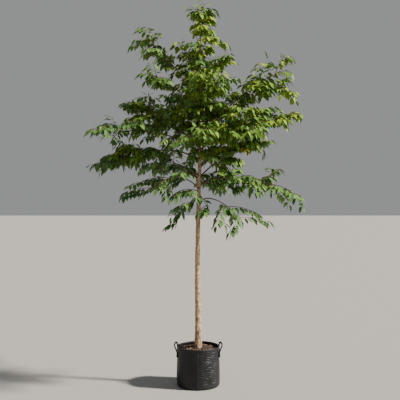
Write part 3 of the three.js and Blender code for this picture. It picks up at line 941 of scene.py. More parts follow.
BOUGHS = (
    LimbRow("low_right", 1.60, -42, 0.51, 1.425, 52, -54),
    LimbRow("front_left", 1.715, 236, 0.58, 1.75, 42, -34),
    LimbRow("drooping_right", 1.755, -13, 0.845, 1.70, 38, -16),
    LimbRow("back_left", 1.80, 128, 0.66, 1.95, 44, -18),
    LimbRow("low_left", 1.85, 192, 0.555, 1.65, 16, -38),
    LimbRow("back_low", 1.88, 78, 0.66, 2.06, 46, -16),
    LimbRow("right", 1.91, 14, 0.82, 2.37, 50, -2),
    LimbRow("left", 1.955, 176, 0.87, 1.93, 54, -28),
    LimbRow("front_low", 1.985, 266, 0.64, 2.11, 46, -20),
    LimbRow("left_middle", 2.03, 199, 0.87, 2.20, 44, -14),
    LimbRow("front_right", 2.06, 318, 0.68, 2.24, 46, -12),
    LimbRow("left_high", 2.085, 162, 0.69, 2.44, 48, 0),
    LimbRow("back_right", 2.12, 48, 0.66, 2.35, 46, -4),
    LimbRow("right_high", 2.19, -6, 0.80, 2.77, 44, 14),
    LimbRow("back_high", 2.27, 104, 0.52, 2.59, 52, 6),
    LimbRow("front_high", 2.32, 286, 0.49, 2.60, 52, 2),
    LimbRow("upper_left", 2.36, 208, 0.49, 2.69, 50, 6),
    LimbRow("top_left", 2.45, 172, 0.55, 3.11, 60, 34),
    LimbRow("right_lower", 1.83, 22, 0.69, 2.13, 44, -20),
    LimbRow("right_middle", 2.155, 4, 0.825, 2.62, 46, -16),
)
SPURS = (
    LimbRow("foot_left", 1.63, 200, 0.15, 1.52, 20, -60),
    LimbRow("foot_front", 1.66, 300, 0.18, 1.52, 20, -56),
    LimbRow("low_front_left", 1.70, 222, 0.33, 1.64, 30, -44),
    LimbRow("low_back", 1.74, 66, 0.37, 1.76, 38, -34),
    LimbRow("middle_left", 2.23, 186, 0.36, 2.44, 46, 4),
    LimbRow("middle_right", 2.30, 24, 0.40, 2.56, 50, 6),
    LimbRow("upper_right", 2.47, -16, 0.30, 2.63, 48, 0),
    LimbRow("upper_front", 2.56, 252, 0.31, 2.75, 50, 4),
    LimbRow("upper_back", 2.62, 80, 0.31, 2.82, 52, 8),
    LimbRow("spur_right", 2.69, 20, 0.21, 2.87, 50, 10),
    LimbRow("leader_left", 2.75, 188, 0.21, 2.94, 56, 12),
    LimbRow("top_front", 2.82, 268, 0.19, 3.03, 56, 18),
    LimbRow("top_right", 2.88, -44, 0.13, 3.09, 60, 24),
    LimbRow("top_back", 2.93, 120, 0.15, 3.16, 62, 34),
)


@dataclass
class Limb(Line):
    """A bough, a spur or the leader: a curve from the trunk's middle to its own tip."""

    name: str
    kind: LimbKind
    controls: Array
    foot_radius: float
    centre_share: float
    start: float = 0.0
    tip_radius: float = 0.0017

    @property
    def length(self) -> float:
        """Return the curve's length."""
        steps = np.diff(self.point(np.linspace(0.0, 1.0, 201)), axis=0)
        return float(np.linalg.norm(steps, axis=1).sum())

    def point(self, share: Array | float) -> Array:
        """Follow the curve.

        Args:
            share: Where, as shares of the curve.

        Returns:
            The points, one a row.
        """
        t = column(share)
        a, b, c, d = self.controls
        s = 1.0 - t
        return s**3 * a + 3 * s * s * t * b + 3 * s * t * t * c + t**3 * d

    def radius(self, share: Array) -> Array:
        """Return the limb's radius at the given shares."""
        return self.tip_radius + (self.foot_radius - self.tip_radius) * (1.0 - share)


@dataclass
class Twig(Line):
    """A twig's middle line: it leaves straight and then sags under its leaves."""

    root: Array
    direction: Array
    length: float
    sag: float
    foot_radius: float
    tip_radius: float
    sag_power: float = 2.4

    def point(self, share: Array | float) -> Array:
        """Return the line's points at the given shares, one a row."""
        t = column(share)
        return self.root + self.direction * self.length * t - UP * self.sag * self.length * t**self.sag_power

    def fitted(self, trials: Sequence[float], fits: Callable[[Twig], bool]) -> Twig | None:
        """Return the twig at the first tried share of its length that fits, if one does."""
        tried = (replace(self, length=self.length * trial) for trial in trials)
        return next((twig for twig in tried if fits(twig)), None)


@dataclass(frozen=True)
class ForkRule:
    """How twigs or fine leafy shoots fork from a line. Angles are in degrees and lengths in metres."""

    spacing: float
    length: float
    first: float
    last: float
    turn: float = 62.0
    turn_spread: float = 45.0
    fork: float = 42.0
    fork_spread: float = 22.0
    length_spread: float = 0.5
    shortening: float = 0.4
    sag: float = 0.16
    sag_spread: float = 0.3
    foot_radius: float = 0.0016
    tip_radius: float = 0.0008
    clearance: float = 0.012
    overhang: float = 0.03
    turning: float = 0.0
    trials: tuple[float, ...] = (1.0, 0.7, 0.45)
    jitter: float = 0.7

    def twig(
        self,
        parent: Line,
        number: int,
        count: int,
        draw: Callable[[], float],
        start: float = 0.0,
        turned: float = 0.0,
    ) -> Twig:
        """Fork one twig from a line.

        Args:
            parent: The line.
            number: The twig's number along the line, which also sets its side.
            count: How many twigs fork from the line.
            draw: The source of chance, from 0 to 1.
            start: The share of the line that stays bare.
            turned: How much further round the line the twig stands, in radians.

        Returns:
            The twig.
        """
        place = self.first + (number + self.jitter * draw()) / count * (self.last - self.first)
        share = lerp(start, 1.0, place)
        tangent = parent.tangent(share)
        side, lift = across_curve(tangent)
        way = -1 if number % 2 else 1
        turn = turned + math.radians(self.turn + self.turn_spread * draw()) * way
        fork = math.radians(self.fork + self.fork_spread * draw())
        outward = lift[0] * math.cos(turn) + side[0] * math.sin(turn)
        direction = tangent[0] * math.cos(fork) + outward * math.sin(fork)
        length = self.length * (1.0 + self.length_spread * (draw() - 0.5)) * (1.0 - self.shortening * place)
        sag = self.sag + self.sag_spread * draw()
        return Twig(parent.point(share)[0], direction, length, sag, self.foot_radius, self.tip_radius)


BOUGH_TWIGS = ForkRule(
    spacing=0.084, length=0.390, first=0.08, last=0.92, turn=30.0, turn_spread=82.0, fork=40.0,
    length_spread=0.3, shortening=0.36, sag=0.14, foot_radius=0.0032, tip_radius=0.0015, clearance=0.003,
    trials=(1.0, 0.84, 0.68, 0.54),
)
PACKED_TWIGS = {
    LimbKind.BOUGH: BOUGH_TWIGS,
    LimbKind.SPUR: replace(BOUGH_TWIGS, spacing=0.080, length=0.300),
    LimbKind.LEADER: replace(BOUGH_TWIGS, spacing=0.050, length=0.220),
}
TWIG_SHOOTS = ForkRule(spacing=0.044, length=0.18, first=0.12, last=0.86, turn=38.0, turn_spread=66.0)
FINE_SHOOTS = ForkRule(spacing=0.036, length=0.10, first=0.2, last=0.8, foot_radius=0.0011, turning=0.012)
BOUGH_SHOOTS = ForkRule(
    spacing=0.036, length=0.24, first=0.06, last=0.96, turn=14.0, turn_spread=128.0, foot_radius=0.0021,
    overhang=0.06,
)
TRUNK_SHOOTS = ForkRule(
    spacing=0.036, length=0.22, first=0.62, last=0.995, fork=52.0, foot_radius=0.0021, clearance=0.004
)


@dataclass
class Beads:
    """Points along the trunk and every limb, with the radius there, that twigs keep clear of."""

    places: Array
    radii: Array
    owners: Array


class TreePlan:
    """The trunk, the limbs and the space of each mass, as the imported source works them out."""

    LEADER_TIP = 3.32
    LEADER_DRIFT = -0.030
    FOOT_HANDLE = 0.26
    TIP_HANDLE = 0.4
    WANDER = 0.05
    BOUGH_RADII = (0.0036, 0.005)
    SPUR_RADIUS = 0.0034
    CENTRE_SHARES = {LimbKind.BOUGH: 0.66, LimbKind.SPUR: 0.6, LimbKind.LEADER: 0.5}
    SEARCH = 0.01
    ENTRY = 0.014
    EARLIEST = 0.24
    LATEST = 0.62
    MARGIN = 0.0006
    BEAD_SPACING = 0.012
    LEAST_TWIGS = 3
    TWIG_SEEDS = 1000
    FREE = -1

    def __init__(self) -> None:
        """Plan every limb, and find where each limb's leafy stem begins."""
        self.trunk = TrunkLine()
        kinds = [LimbKind.BOUGH] * len(BOUGHS) + [LimbKind.SPUR] * len(SPURS)
        rows = zip(BOUGHS + SPURS, kinds)
        self.limbs = [self._limb(row, seed, kind) for seed, (row, kind) in enumerate(rows, 1)]
        self.limbs.append(self._leader())
        self.centres = np.array([limb.point(limb.centre_share)[0] for limb in self.limbs])
        for number, limb in enumerate(self.limbs):
            limb.start = self._stem_start(number)
        self.beads = self._bead()

    def _limb(self, row: LimbRow, seed: int, kind: LimbKind) -> Limb:
        """Draw the limb of a row, whose curve wanders a little by its seed.

        Args:
            row: The limb's sizes.
            seed: Its seed.
            kind: Its kind.

        Returns:
            The limb.
        """
        draw = seeded_draws(seed)
        heading = math.radians(row.heading)
        out = np.array((math.cos(heading), math.sin(heading), 0.0))
        aside = np.array((-out[1], out[0], 0.0))
        foot = self.trunk.point(self.trunk.share(row.foot))[0]
        tip = foot + out * row.reach
        tip[2] = row.tip
        chord = float(np.linalg.norm(tip - foot))
        slopes = (math.radians(degrees) for degrees in (row.leave, row.arrive))
        leave, arrive = (out * math.cos(slope) + UP * math.sin(slope) for slope in slopes)
        drifts = [(draw() - 0.5) * 2.0 * self.WANDER * row.reach for _ in range(2)]
        first = foot + leave * self.FOOT_HANDLE * chord + aside * drifts[0]
        second = tip - arrive * self.TIP_HANDLE * chord + aside * drifts[1]
        slim, growth = self.BOUGH_RADII
        radius = slim + growth * row.reach if kind is LimbKind.BOUGH else self.SPUR_RADIUS
        return Limb(row.name, kind, np.array([foot, first, second, tip]), radius, self.CENTRE_SHARES[kind])

    def _leader(self) -> Limb:
        """Draw the trunk's last shoot.

        Returns:
            The leader.
        """
        foot = self.trunk.point(1.0)[0]
        tip = foot + np.array((self.LEADER_DRIFT, 0.0, self.LEADER_TIP - foot[2]))
        controls = np.array([foot, lerp(foot, tip, 0.3), lerp(foot, tip, 0.7), tip])
        kind = LimbKind.LEADER
        return Limb("leader", kind, controls, self.trunk.tip_radius, self.CENTRE_SHARES[kind])

    def depth(self, number: int, points: Array) -> Array:
        """Measure how far points lie inside a limb's own space.

        Args:
            number: The limb's number.
            points: The points, one a row.

        Returns:
            The depth of each, which is negative outside.
        """
        own = self.centres[number]
        others = np.delete(self.centres, number, axis=0)
        between = np.linalg.norm(others - own, axis=1)
        to_others = ((points[:, None] - others) ** 2).sum(axis=2)
        to_own = ((points - own) ** 2).sum(axis=1)
        return ((to_others - to_own[:, None]) / (2.0 * between)).min(axis=1)

    def _stem_start(self, number: int) -> float:
        """Find where a limb's leafy stem begins.

        Args:
            number: The limb's number.

        Returns:
            The share of its curve.
        """
        limb = self.limbs[number]
        if limb.kind is not LimbKind.BOUGH:
            return 0.0
        share = self.EARLIEST
        while share < self.LATEST:
            if self.depth(number, limb.point(share))[0] > self.ENTRY:
                return share
            share += self.SEARCH
        return self.LATEST

    def _bead(self) -> Beads:
        """Bead the trunk and every limb.

        Returns:
            The beads.
        """
        shares = np.linspace(0.0, 1.0, 181)
        rows = [(self.trunk.point(shares), self.trunk.radius(shares), np.full(len(shares), self.FREE))]
        for number, limb in enumerate(self.limbs):
            shares = np.linspace(0.0, 1.0, math.ceil(limb.length / self.BEAD_SPACING) + 1)
            owners = np.where(shares < limb.start, self.FREE, number)
            rows.append((limb.point(shares), limb.radius(shares), owners))
        return Beads(*(np.concatenate(parts) for parts in zip(*rows)))

    def is_clear(self, points: Array, radius: float, ignored: int, wood_only: bool = False) -> bool:
        """Tell whether points keep clear of the trunk and the limbs.

        Args:
            points: The points to test, one a row.
            radius: Their own radius with the clearance.
            ignored: The limb whose own stem doesn't count.
            wood_only: Whether only the trunk and the bare boughs count.

        Returns:
            True if they all do.
        """
        beads = self.beads
        counts = beads.owners == self.FREE if wood_only else beads.owners != ignored
        apart = np.linalg.norm(points[:, None] - beads.places[counts], axis=2)
        return bool((apart > beads.radii[counts] + radius).all())

    def packed_twigs(self, number: int) -> list[Twig]:
        """Fork the side twigs of a limb's stem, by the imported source's rule.

        Args:
            number: The limb's number.

        Returns:
            The twigs that fit.
        """
        limb = self.limbs[number]
        rule = PACKED_TWIGS[limb.kind]
        count = max(self.LEAST_TWIGS, round(limb.length * (1.0 - limb.start) / rule.spacing))
        twigs = []
        for i in range(count):
            draw = seeded_draws((number + 1) * self.TWIG_SEEDS + i)
            twig = rule.twig(limb, i, count, draw, start=limb.start)
            twigs.append(twig.fitted(rule.trials, lambda tried: self._fits(number, tried, rule)))
        return [twig for twig in twigs if twig]

    def _fits(self, number: int, twig: Twig, rule: ForkRule) -> bool:
        """Tell whether a twig is inside its limb's space and clear of the trunk and limbs.

        Args:
            number: The limb's number.
            twig: The twig.
            rule: How it forked.

        Returns:
            True if it is.
        """
        points = twig.point(np.arange(1, 9) / 8)
        if (self.depth(number, points) < rule.foot_radius + self.MARGIN).any():
            return False
        return self.is_clear(points, rule.foot_radius + rule.clearance, number)


# Leaves and finer twigs


@dataclass(frozen=True)
class LeafPattern:
    """The shape of one leaf, a unit long with its stalk's end at the origin, along +X and face up."""

    width: float = 0.41
    fold: float = 0.16
    droop: float = 0.16
    curl: float = 0.05
    stations: tuple[float, ...] = (0.0, 0.13, 0.3, 0.48, 0.67, 0.85, 1.0)
    half_widths: tuple[float, ...] = (0.0, 0.62, 0.95, 1.0, 0.74, 0.33, 0.0)
    stalk: float = 0.11
    stalk_radius: float = 0.008

    def model(self) -> tuple[Array, Faces, Array]:
        """Model the leaf from a grid and a thin cone for its stalk.

        Returns:
            The leaf's points, the point numbers round its faces and its places on the UV map.
        """
        deselect_all()
        columns = len(self.stations) - 1
        bpy.ops.mesh.primitive_grid_add(x_subdivisions=columns, y_subdivisions=2, size=1.0)
        leaf = bpy.context.object
        bpy.ops.object.mode_set(mode="EDIT")
        for number, (station, half) in enumerate(zip(self.stations, self.half_widths)):
            self._select_column(leaf, number / columns - 0.5)
            bpy.ops.transform.resize(value=(1.0, max(half, 1e-3) * self.width, 1.0))
            shift = station - number / columns + 0.5
            bpy.ops.transform.translate(value=(shift, 0.0, -self.droop * station**2))
            if half == 0.0:
                bpy.ops.mesh.merge(type="CENTER")
        bpy.ops.object.mode_set(mode="OBJECT")
        points, faces = points_of(leaf), faces_of(leaf)
        bpy.data.objects.remove(leaf)
        points[:, 2] += self.fold * np.abs(points[:, 1])
        points[:, 2] += self.curl * points[:, 1] * np.sin(points[:, 0] * math.tau)
        spots = np.stack([points[:, 0], points[:, 1] / self.width + 0.5], axis=1)
        stalk, stalk_faces = tube(
            np.array([(-self.stalk, 0.0, 0.0), (-0.4 * self.stalk, 0.0, 0.006), (0.02, 0.0, 0.0)]),
            self.stalk_radius * np.array([1.0, 0.8, 0.0]),
            3,
        )
        spots = np.concatenate([spots, np.full((len(stalk), 2), (0.0, 0.5))])
        faces += [tuple(corner + len(points) for corner in face) for face in stalk_faces]
        return np.concatenate([points, stalk]) + (self.stalk, 0.0, 0.0), faces, spots

    @staticmethod
    def _select_column(leaf: Piece, across: float) -> None:
        """Select the points of the grid that still stand at one place along X.

        Args:
            leaf: The leaf, in edit mode.
            across: The place.
        """
        shape = bmesh.from_edit_mesh(leaf.data)
        for vert in shape.verts:
            vert.select = abs(vert.co.x - across) < 1e-4 and abs(vert.co.z) < 1e-6
        shape.select_flush_mode()
        bmesh.update_edit_mesh(leaf.data)


@dataclass(frozen=True)
class LeafRule:
    """How leaves of their real size stand along a line: alternate, spread to both sides, hanging."""

    length: float
    length_spread: float
    spacing: float
    forward: float
    forward_spread: float
    sideways: float
    hang: float
    hang_spread: float
    roll_spread: float
    tip_smaller: float = 0.3
    tip_forward: float = 1.2
    tip_hang: float = 1.5
    tip_gap: float = 0.05
    widest_gap: float = 0.3
    jitter: float = 0.3
    steep: tuple[float, float] = (0.55, 0.85)

    def leaves(self, line: Line, first: float, rng: Chance) -> tuple[Array, Array, Array]:
        """Set leaves along a line from a share of it to its end, and one at its tip.

        Args:
            line: The stem, twig or shoot.
            first: The share of the line where the leaves begin.
            rng: The source of chance.

        Returns:
            The leaves' roots, their frames and their lengths.
        """
        end = 1.0 - min(self.tip_gap / line.length, self.widest_gap)
        count = max(1, round((1.0 - first) * line.length / self.spacing))
        shares = np.linspace(first, end, count + 1)[:-1] + self.jitter / count * rng.random(count)
        shares = np.append(np.minimum(shares, end), end)
        tangents = line.tangent(shares)
        side, _ = across_curve(tangents)
        steep = smooth_step(*self.steep, np.abs(tangents[:, 2]))
        turn = steep * GOLDEN_TURN * np.arange(len(shares))
        across = np.cross(tangents, side)
        side = side * np.cos(turn)[:, None] + across * np.sin(turn)[:, None]
        way = np.where(np.arange(len(shares)) % 2, 1.0, -1.0)
        way[-1] = 0.0
        chance = rng.random((len(shares), 4))
        forward = self.forward + self.forward_spread * chance[:, 0]
        forward[-1] = self.tip_forward
        hang = self.hang + self.hang_spread * chance[:, 1]
        hang[-1] += self.tip_hang * max(0.0, tangents[-1, 2])
        along = tangents * forward[:, None] + side * (self.sideways * way)[:, None] - UP * hang[:, None]
        along = unit(along)
        level, lift = across_curve(along)
        roll = ((chance[:, 2] - 0.5) * self.roll_spread)[:, None]
        normal = lift * np.cos(roll) + level * np.sin(roll)
        frames = np.stack([along, np.cross(normal, along), normal], axis=2)
        size = self.length * (1.0 + self.length_spread * (chance[:, 3] - 0.5))
        size = size * (1.0 - self.tip_smaller * smooth_step(0.55, 1.0, (shares - first) / (1.0 - first)))
        return line.point(shares), frames, size


LEAF_PATTERNS = (
    LeafPattern(),
    LeafPattern(width=0.38, fold=0.26, droop=0.24, curl=-0.07),
    LeafPattern(width=0.43, fold=0.1, droop=0.1, curl=0.1),
)
OPEN_LEAVES = LeafRule(
    length=0.081, length_spread=0.24, spacing=0.0245, forward=0.5, forward_spread=0.2, sideways=0.76,
    hang=0.24, hang_spread=0.56, roll_spread=0.6,
)
CORE_LEAVES = LeafRule(
    length=0.073, length_spread=0.34, spacing=0.023, forward=0.4, forward_spread=0.3, sideways=0.78,
    hang=0.3, hang_spread=0.7, roll_spread=0.9,
)


@dataclass(frozen=True)
class CrownCore:
    """A dense part of the crown, as an egg-shaped place."""

    centre: Place
    radii: Place

    def fullness(self, place: Array) -> float:
        """Return 1 in the middle of the core, and 0 outside it."""
        away = float(np.linalg.norm((place - self.centre) / self.radii))
        return min(1.0, max(0.0, 2.0 * (1.0 - away)))


@dataclass(frozen=True)
class Clearing:
    """A thin place in the crown, where the sky shows, as an ellipse seen from the camera."""

    across: float
    height: float
    half_width: float
    half_height: float
    kept: float = 0.0

    def holds(self, place: Array) -> bool:
        """Tell whether a place is seen in the clearing.

        Args:
            place: The place.

        Returns:
            True if it is.
        """
        eye = np.array(EYE)
        seen = eye + (place - eye) * (-eye[1] / (place[1] - eye[1]))
        across = (seen[0] - self.across) / self.half_width
        upright = (seen[2] - self.height) / self.half_height
        return bool(across**2 + upright**2 < 1.0)


CORES = (
    CrownCore((0.12, 0.0, 2.34), (0.66, 0.60, 0.50)),
    CrownCore((0.06, 0.0, 2.92), (0.27, 0.27, 0.46)),
    CrownCore((0.24, 0.0, 1.94), (0.46, 0.50, 0.30)),
    CrownCore((-0.42, 0.0, 2.38), (0.36, 0.40, 0.20)),
    CrownCore((0.56, 0.0, 2.46), (0.36, 0.36, 0.22)),
    CrownCore((-0.62, 0.0, 2.02), (0.28, 0.30, 0.22)),
)
CLEARINGS = (
    Clearing(0.33, 2.74, 0.07, 0.12, 0.1),
    Clearing(0.74, 3.00, 0.13, 0.07),
    Clearing(-0.14, 2.86, 0.06, 0.06, 0.2),
    Clearing(-0.55, 1.77, 0.09, 0.05, 0.1),
    Clearing(-0.12, 2.14, 0.06, 0.06, 0.2),
    Clearing(0.02, 2.09, 0.05, 0.10, 0.1),
    Clearing(0.48, 1.86, 0.10, 0.05, 0.2),
    Clearing(-0.14, 1.60, 0.10, 0.06, 0.2),
    Clearing(0.10, 1.76, 0.06, 0.06, 0.3),
    Clearing(0.74, 1.80, 0.08, 0.06, 0.2),
    Clearing(-0.68, 2.22, 0.06, 0.05, 0.2),
)


def fullness(place: Array) -> float:
    """Return how dense the crown is at a place, from 0 outside the cores to 1 in the middle of one."""
    return max(core.fullness(place) for core in CORES)


@dataclass(frozen=True)
class PaintedLight:
    """Painted light and shade on a spray's tint by its place: lighter to the right towards the key light,
    upwards and in front, painted shade on low sprays, and painted light in the dense cores, most on their
    shaded left.
    """

    # Painted light towards the key light on the right, upwards and in front.
    across: float = 0.32
    upward: float = 0.26
    middle: float = 2.3
    away: float = 0.1
    # Painted shade on sprays below low_height.
    low: float = 0.6
    low_height: float = 2.0
    # Painted light in the dense cores, more the further left of core_side, where the crown's own shade
    # falls.
    core: float = 0.36
    core_side: float = 0.5
    chance: float = 0.19

    def on(self, place: Array) -> float:
        """Give the painted light at a place, without chance.

        Args:
            place: The spray's place.

        Returns:
            The painted light, near 0 in the middle of the crown.
        """
        # Painted shade low down, painted light in the shaded cores, and painted light to the right, upwards
        # and in front.
        low = max(0.0, self.low_height - place[2])
        within = fullness(place) * max(0.0, self.core_side - place[0])
        light = place[0] * self.across + (place[2] - self.middle) * self.upward - low * self.low
        return light - place[1] * self.away + self.core * within


PAINTED_LIGHT = PaintedLight()


def kept_share(place: Array) -> float:
    """Return the share of shoots that the clearings leave at a place."""
    return min(clearing.kept if clearing.holds(place) else 1.0 for clearing in CLEARINGS)


class Crown:
    """Boughs, twigs and leaves."""

    FIRST_SEED = 7100
    TRUNK_SEED = 7999
    BARE_STEM = 0.3
    BARE_TWIG = 0.14
    BARE_SHOOT = 0.12
    TIP_LEFT = 0.03
    CORE_FROM = 0.3
    LEVELS = (-0.16, 0.12, 0.36)
    OVERREACH = 0.015
    LOW_SHARE = 0.22
    OPEN_SHARE = 0.58
    LOW_HEIGHTS = (1.7, 2.1)
    OPEN_REACH = 0.8
    COLLAR = 0.7
    COLLAR_LENGTH = 0.03
    RING_SPACING = 0.018
    FEWEST_RINGS = 12
    TWIG_GRAIN = (5, 7)
    SHOOT_GRAIN = (4, 5)
    LIMB_TINT_AT = 0.8
    TINT_AT = 0.6
    SEEN_AT = 0.7
    BARK_RELIEF = ((0.0005, (0.006, 0.006, 0.012), 31), (0.0004, 0.02, 32))

    def __init__(self, plan: TreePlan) -> None:
        """Keep the tree's plan.

        Args:
            plan: The plan.
        """
        self.plan = plan
        self.leaves: list[tuple[Array, ...]] = []
        self.twigs = JoinedParts()

    def grow(self) -> None:
        """Grow every limb's twigs and leaves, and the leafy shoots of the trunk."""
        for number, limb in enumerate(self.plan.limbs):
            rng = np.random.default_rng(self.FIRST_SEED + number)
            bare = max(limb.start, self.BARE_STEM)
            self._leafy(limb, bare, number, self._tint(limb.point(self.LIMB_TINT_AT)[0], rng), rng)
            for twig in self.plan.packed_twigs(number):
                self._add_twig(twig, *self.TWIG_GRAIN)
                tint = self._tint(twig.point(self.TINT_AT)[0], rng)
                self._leafy(twig, self.BARE_TWIG, number, tint, rng)
                self._fork_twice(twig, number, TWIG_SHOOTS, rng)
            if limb.kind is not LimbKind.SPUR:
                self._fork_twice(limb, number, BOUGH_SHOOTS, rng)
        rng = np.random.default_rng(self.TRUNK_SEED)
        self._fork_twice(self.plan.trunk, self.plan.FREE, TRUNK_SHOOTS, rng)

    def _fork_twice(self, parent: Line, number: int, rule: ForkRule, rng: Chance) -> None:
        """Fork shoots from a line, and finer shoots from those in the crown's dense core.

        Args:
            parent: The line that they fork from.
            number: The number of the limb whose space they keep to, or FREE.
            rule: How they fork.
            rng: The source of chance.
        """
        for shoot in self._fork(parent, number, rule, rng):
            if rng.random() < fullness(shoot.point(0.5)[0]):
                self._fork(shoot, number, FINE_SHOOTS, rng)

    def _fork(self, parent: Line, number: int, rule: ForkRule, rng: Chance) -> list[Twig]:
        """Fork leafy shoots from a line to alternate sides, or all round the trunk.

        Args:
            parent: The line that they fork from.
            number: The number of the limb whose space they keep to, or FREE.
            rule: How they fork.
            rng: The source of chance.

        Returns:
            The shoots.
        """
        grown = []
        count = max(1, round(parent.length * (rule.last - rule.first) / rule.spacing))
        for i in range(count):
            turned = GOLDEN_TURN * i if number == self.plan.FREE else 0.0
            shoot = rule.twig(parent, i, count, rng.random, turned=turned)
            full = fullness(shoot.root)
            shoot.length *= lerp(self.OPEN_REACH, 1.0, full)
            aloft = float(smooth_step(*self.LOW_HEIGHTS, shoot.root[2]))
            share_grown = lerp(lerp(self.LOW_SHARE, self.OPEN_SHARE, aloft), 1.0, full)
            seen = shoot.root + shoot.direction * shoot.length * self.SEEN_AT
            if rng.random() > share_grown * kept_share(seen):
                continue
            tint = self._tint(shoot.point(self.TINT_AT)[0], rng, rule.turning)
            fitted = shoot.fitted(rule.trials, lambda tried: self._has_room(tried, number, rule))
            if fitted:
                self._add_twig(fitted, *self.SHOOT_GRAIN)
                self._leafy(fitted, self.BARE_SHOOT, number, tint, rng)
                grown.append(fitted)
        return grown

    def _has_room(self, shoot: Twig, number: int, rule: ForkRule) -> bool:
        """Tell whether a shoot keeps near its limb's space and clear of the trunk and boughs.

        Args:
            shoot: The shoot.
            number: The limb's number, or FREE.
            rule: How it forked.

        Returns:
            True if it does.
        """
        points = shoot.point(np.arange(2, 6) / 5)
        if number != self.plan.FREE and (self.plan.depth(number, points) < -rule.overhang).any():
            return False
        return self.plan.is_clear(points, rule.clearance, number, wood_only=True)

    def _add_twig(self, twig: Twig, sides: int, rings: int) -> None:
        """Add a twig's wood, which thins to its tip.

        Args:
            twig: The twig.
            sides: How many sides it has.
            rings: How many rings it has.
        """
        shares = np.linspace(0.0, 1.0 - self.TIP_LEFT / twig.length, rings)
        radii = lerp(twig.foot_radius, twig.tip_radius, shares)
        self.twigs.add(*tube(twig.point(shares), radii, sides))

    def _tint(self, place: Array, rng: Chance, turning: float = 0.0) -> int:
        """Choose the tint of a spray: painted light and shade by its place in the key light, with a random
        spread, or by chance a turning yellow.

        Args:
            place: The spray's place.
            rng: The source of chance.
            turning: The share of sprays that are turning yellow.

        Returns:
            The tint's number.
        """
        if rng.random() < turning:
            return len(self.LEVELS) + 1
        # Painted light and shade: lighter copies of the leaf green go where the key light falls, darker ones
        # where shade falls.
        painted_level = PAINTED_LIGHT.on(place)
        painted_level += PAINTED_LIGHT.chance * rng.standard_normal()
        return sum(painted_level > level for level in self.LEVELS)

    def _leafy(self, line: Line, first: float, number: int, tint: int, rng: Chance) -> None:
        """Set leaves along a line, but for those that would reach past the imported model's box.

        Args:
            line: The stem, twig or shoot.
            first: The share of the line where the leaves begin.
            number: The number of the limb that it belongs to.
            tint: The number of the spray's tint.
            rng: The source of chance.
        """
        dense = fullness(line.point(0.5 * (first + 1.0))[0]) > self.CORE_FROM
        roots, frames, lengths = (CORE_LEAVES if dense else OPEN_LEAVES).leaves(line, first, rng)
        tips = roots + frames[:, :, 0] * lengths[:, None]
        low, high = (np.array(corner) for corner in CAD_BOX)
        kept = ((tips > low - self.OVERREACH) & (tips < high + self.OVERREACH)).all(axis=1)
        numbers = (np.full(kept.sum(), number) for number in (tint, number))
        self.leaves.append((roots[kept], frames[kept], lengths[kept], *numbers))

    def leaf_pieces(self) -> None:
        """Join the leaves by tint."""
        patterns = [pattern.model() for pattern in LEAF_PATTERNS]
        roots, frames, lengths, tints, limbs = (np.concatenate(parts) for parts in zip(*self.leaves))
        log.info("leaves in all: %d", len(roots))
        for tint_number, tint in enumerate(Tint):
            joined = JoinedParts()
            mine = np.flatnonzero(tints == tint_number)
            for leaf in mine:
                shape, faces, spots = patterns[leaf % len(patterns)]
                joined.add(roots[leaf] + (shape * lengths[leaf]) @ frames[leaf].T, faces, spots)
            names = sorted({self.plan.limbs[i].name for i in limbs[mine] if i != self.plan.FREE})
            # The lighter tints are painted light on one leaf green, not young leaves.
            slot = "leaves" if tint in (Tint.SHADE, Tint.DEEP) else "young_leaves"
            nodes = [f"foliage_{name}" for name in names]
            dress(joined.piece(f"leaves_{tint.value}"), LEAF_FINISHES[tint], slot, *nodes)

    def twig_piece(self) -> None:
        """Join the twigs."""
        nodes = [f"foliage_{limb.name}" for limb in self.plan.limbs]
        dress(self.twigs.piece("twigs"), TWIG_BARK, "branch_bark", *nodes)

    def bough_piece(self) -> None:
        """Draw every limb as one curve with a round section, make it a mesh and give it bark."""
        deselect_all()
        bpy.ops.curve.primitive_nurbs_path_add()
        drawn = bpy.context.object
        drawn.name = drawn.data.name = "boughs"
        drawn.data.splines.clear()
        drawn.data.bevel_depth = 1.0
        drawn.data.bevel_resolution = 3
        drawn.data.use_fill_caps = True
        drawn.data.dimensions = "3D"
        for limb in self.plan.limbs:
            length = limb.length
            rings = max(self.FEWEST_RINGS, round(length / self.RING_SPACING))
            shares = np.linspace(0.0, 1.0 - self.TIP_LEFT / length, rings)
            points, radii = limb.point(shares), limb.radius(shares)
            if limb.kind is not LimbKind.LEADER:
                radii = radii * (1.0 + self.COLLAR * np.exp(-(shares * length) / self.COLLAR_LENGTH))
            spline = drawn.data.splines.new("POLY")
            spline.points.add(len(shares) - 1)
            spline.points.foreach_set("co", np.c_[points, np.ones(len(points))].ravel())
            spline.points.foreach_set("radius", radii)
        activate(drawn)
        drawn.location = (0.0, 0.0, 0.0)
        bpy.ops.object.convert(target="MESH")
        piece = bpy.context.object
        points = points_of(piece)
        relief = layered_noise(points, self.BARK_RELIEF)
        move_points(piece, points + points_of(piece, "normal") * relief[:, None])
        nodes = [f"bough_{limb.name}" for limb in self.plan.limbs if limb.kind is LimbKind.BOUGH]
        dress(piece, BOUGH_BARK, "branch_bark", *nodes, sharp=60)


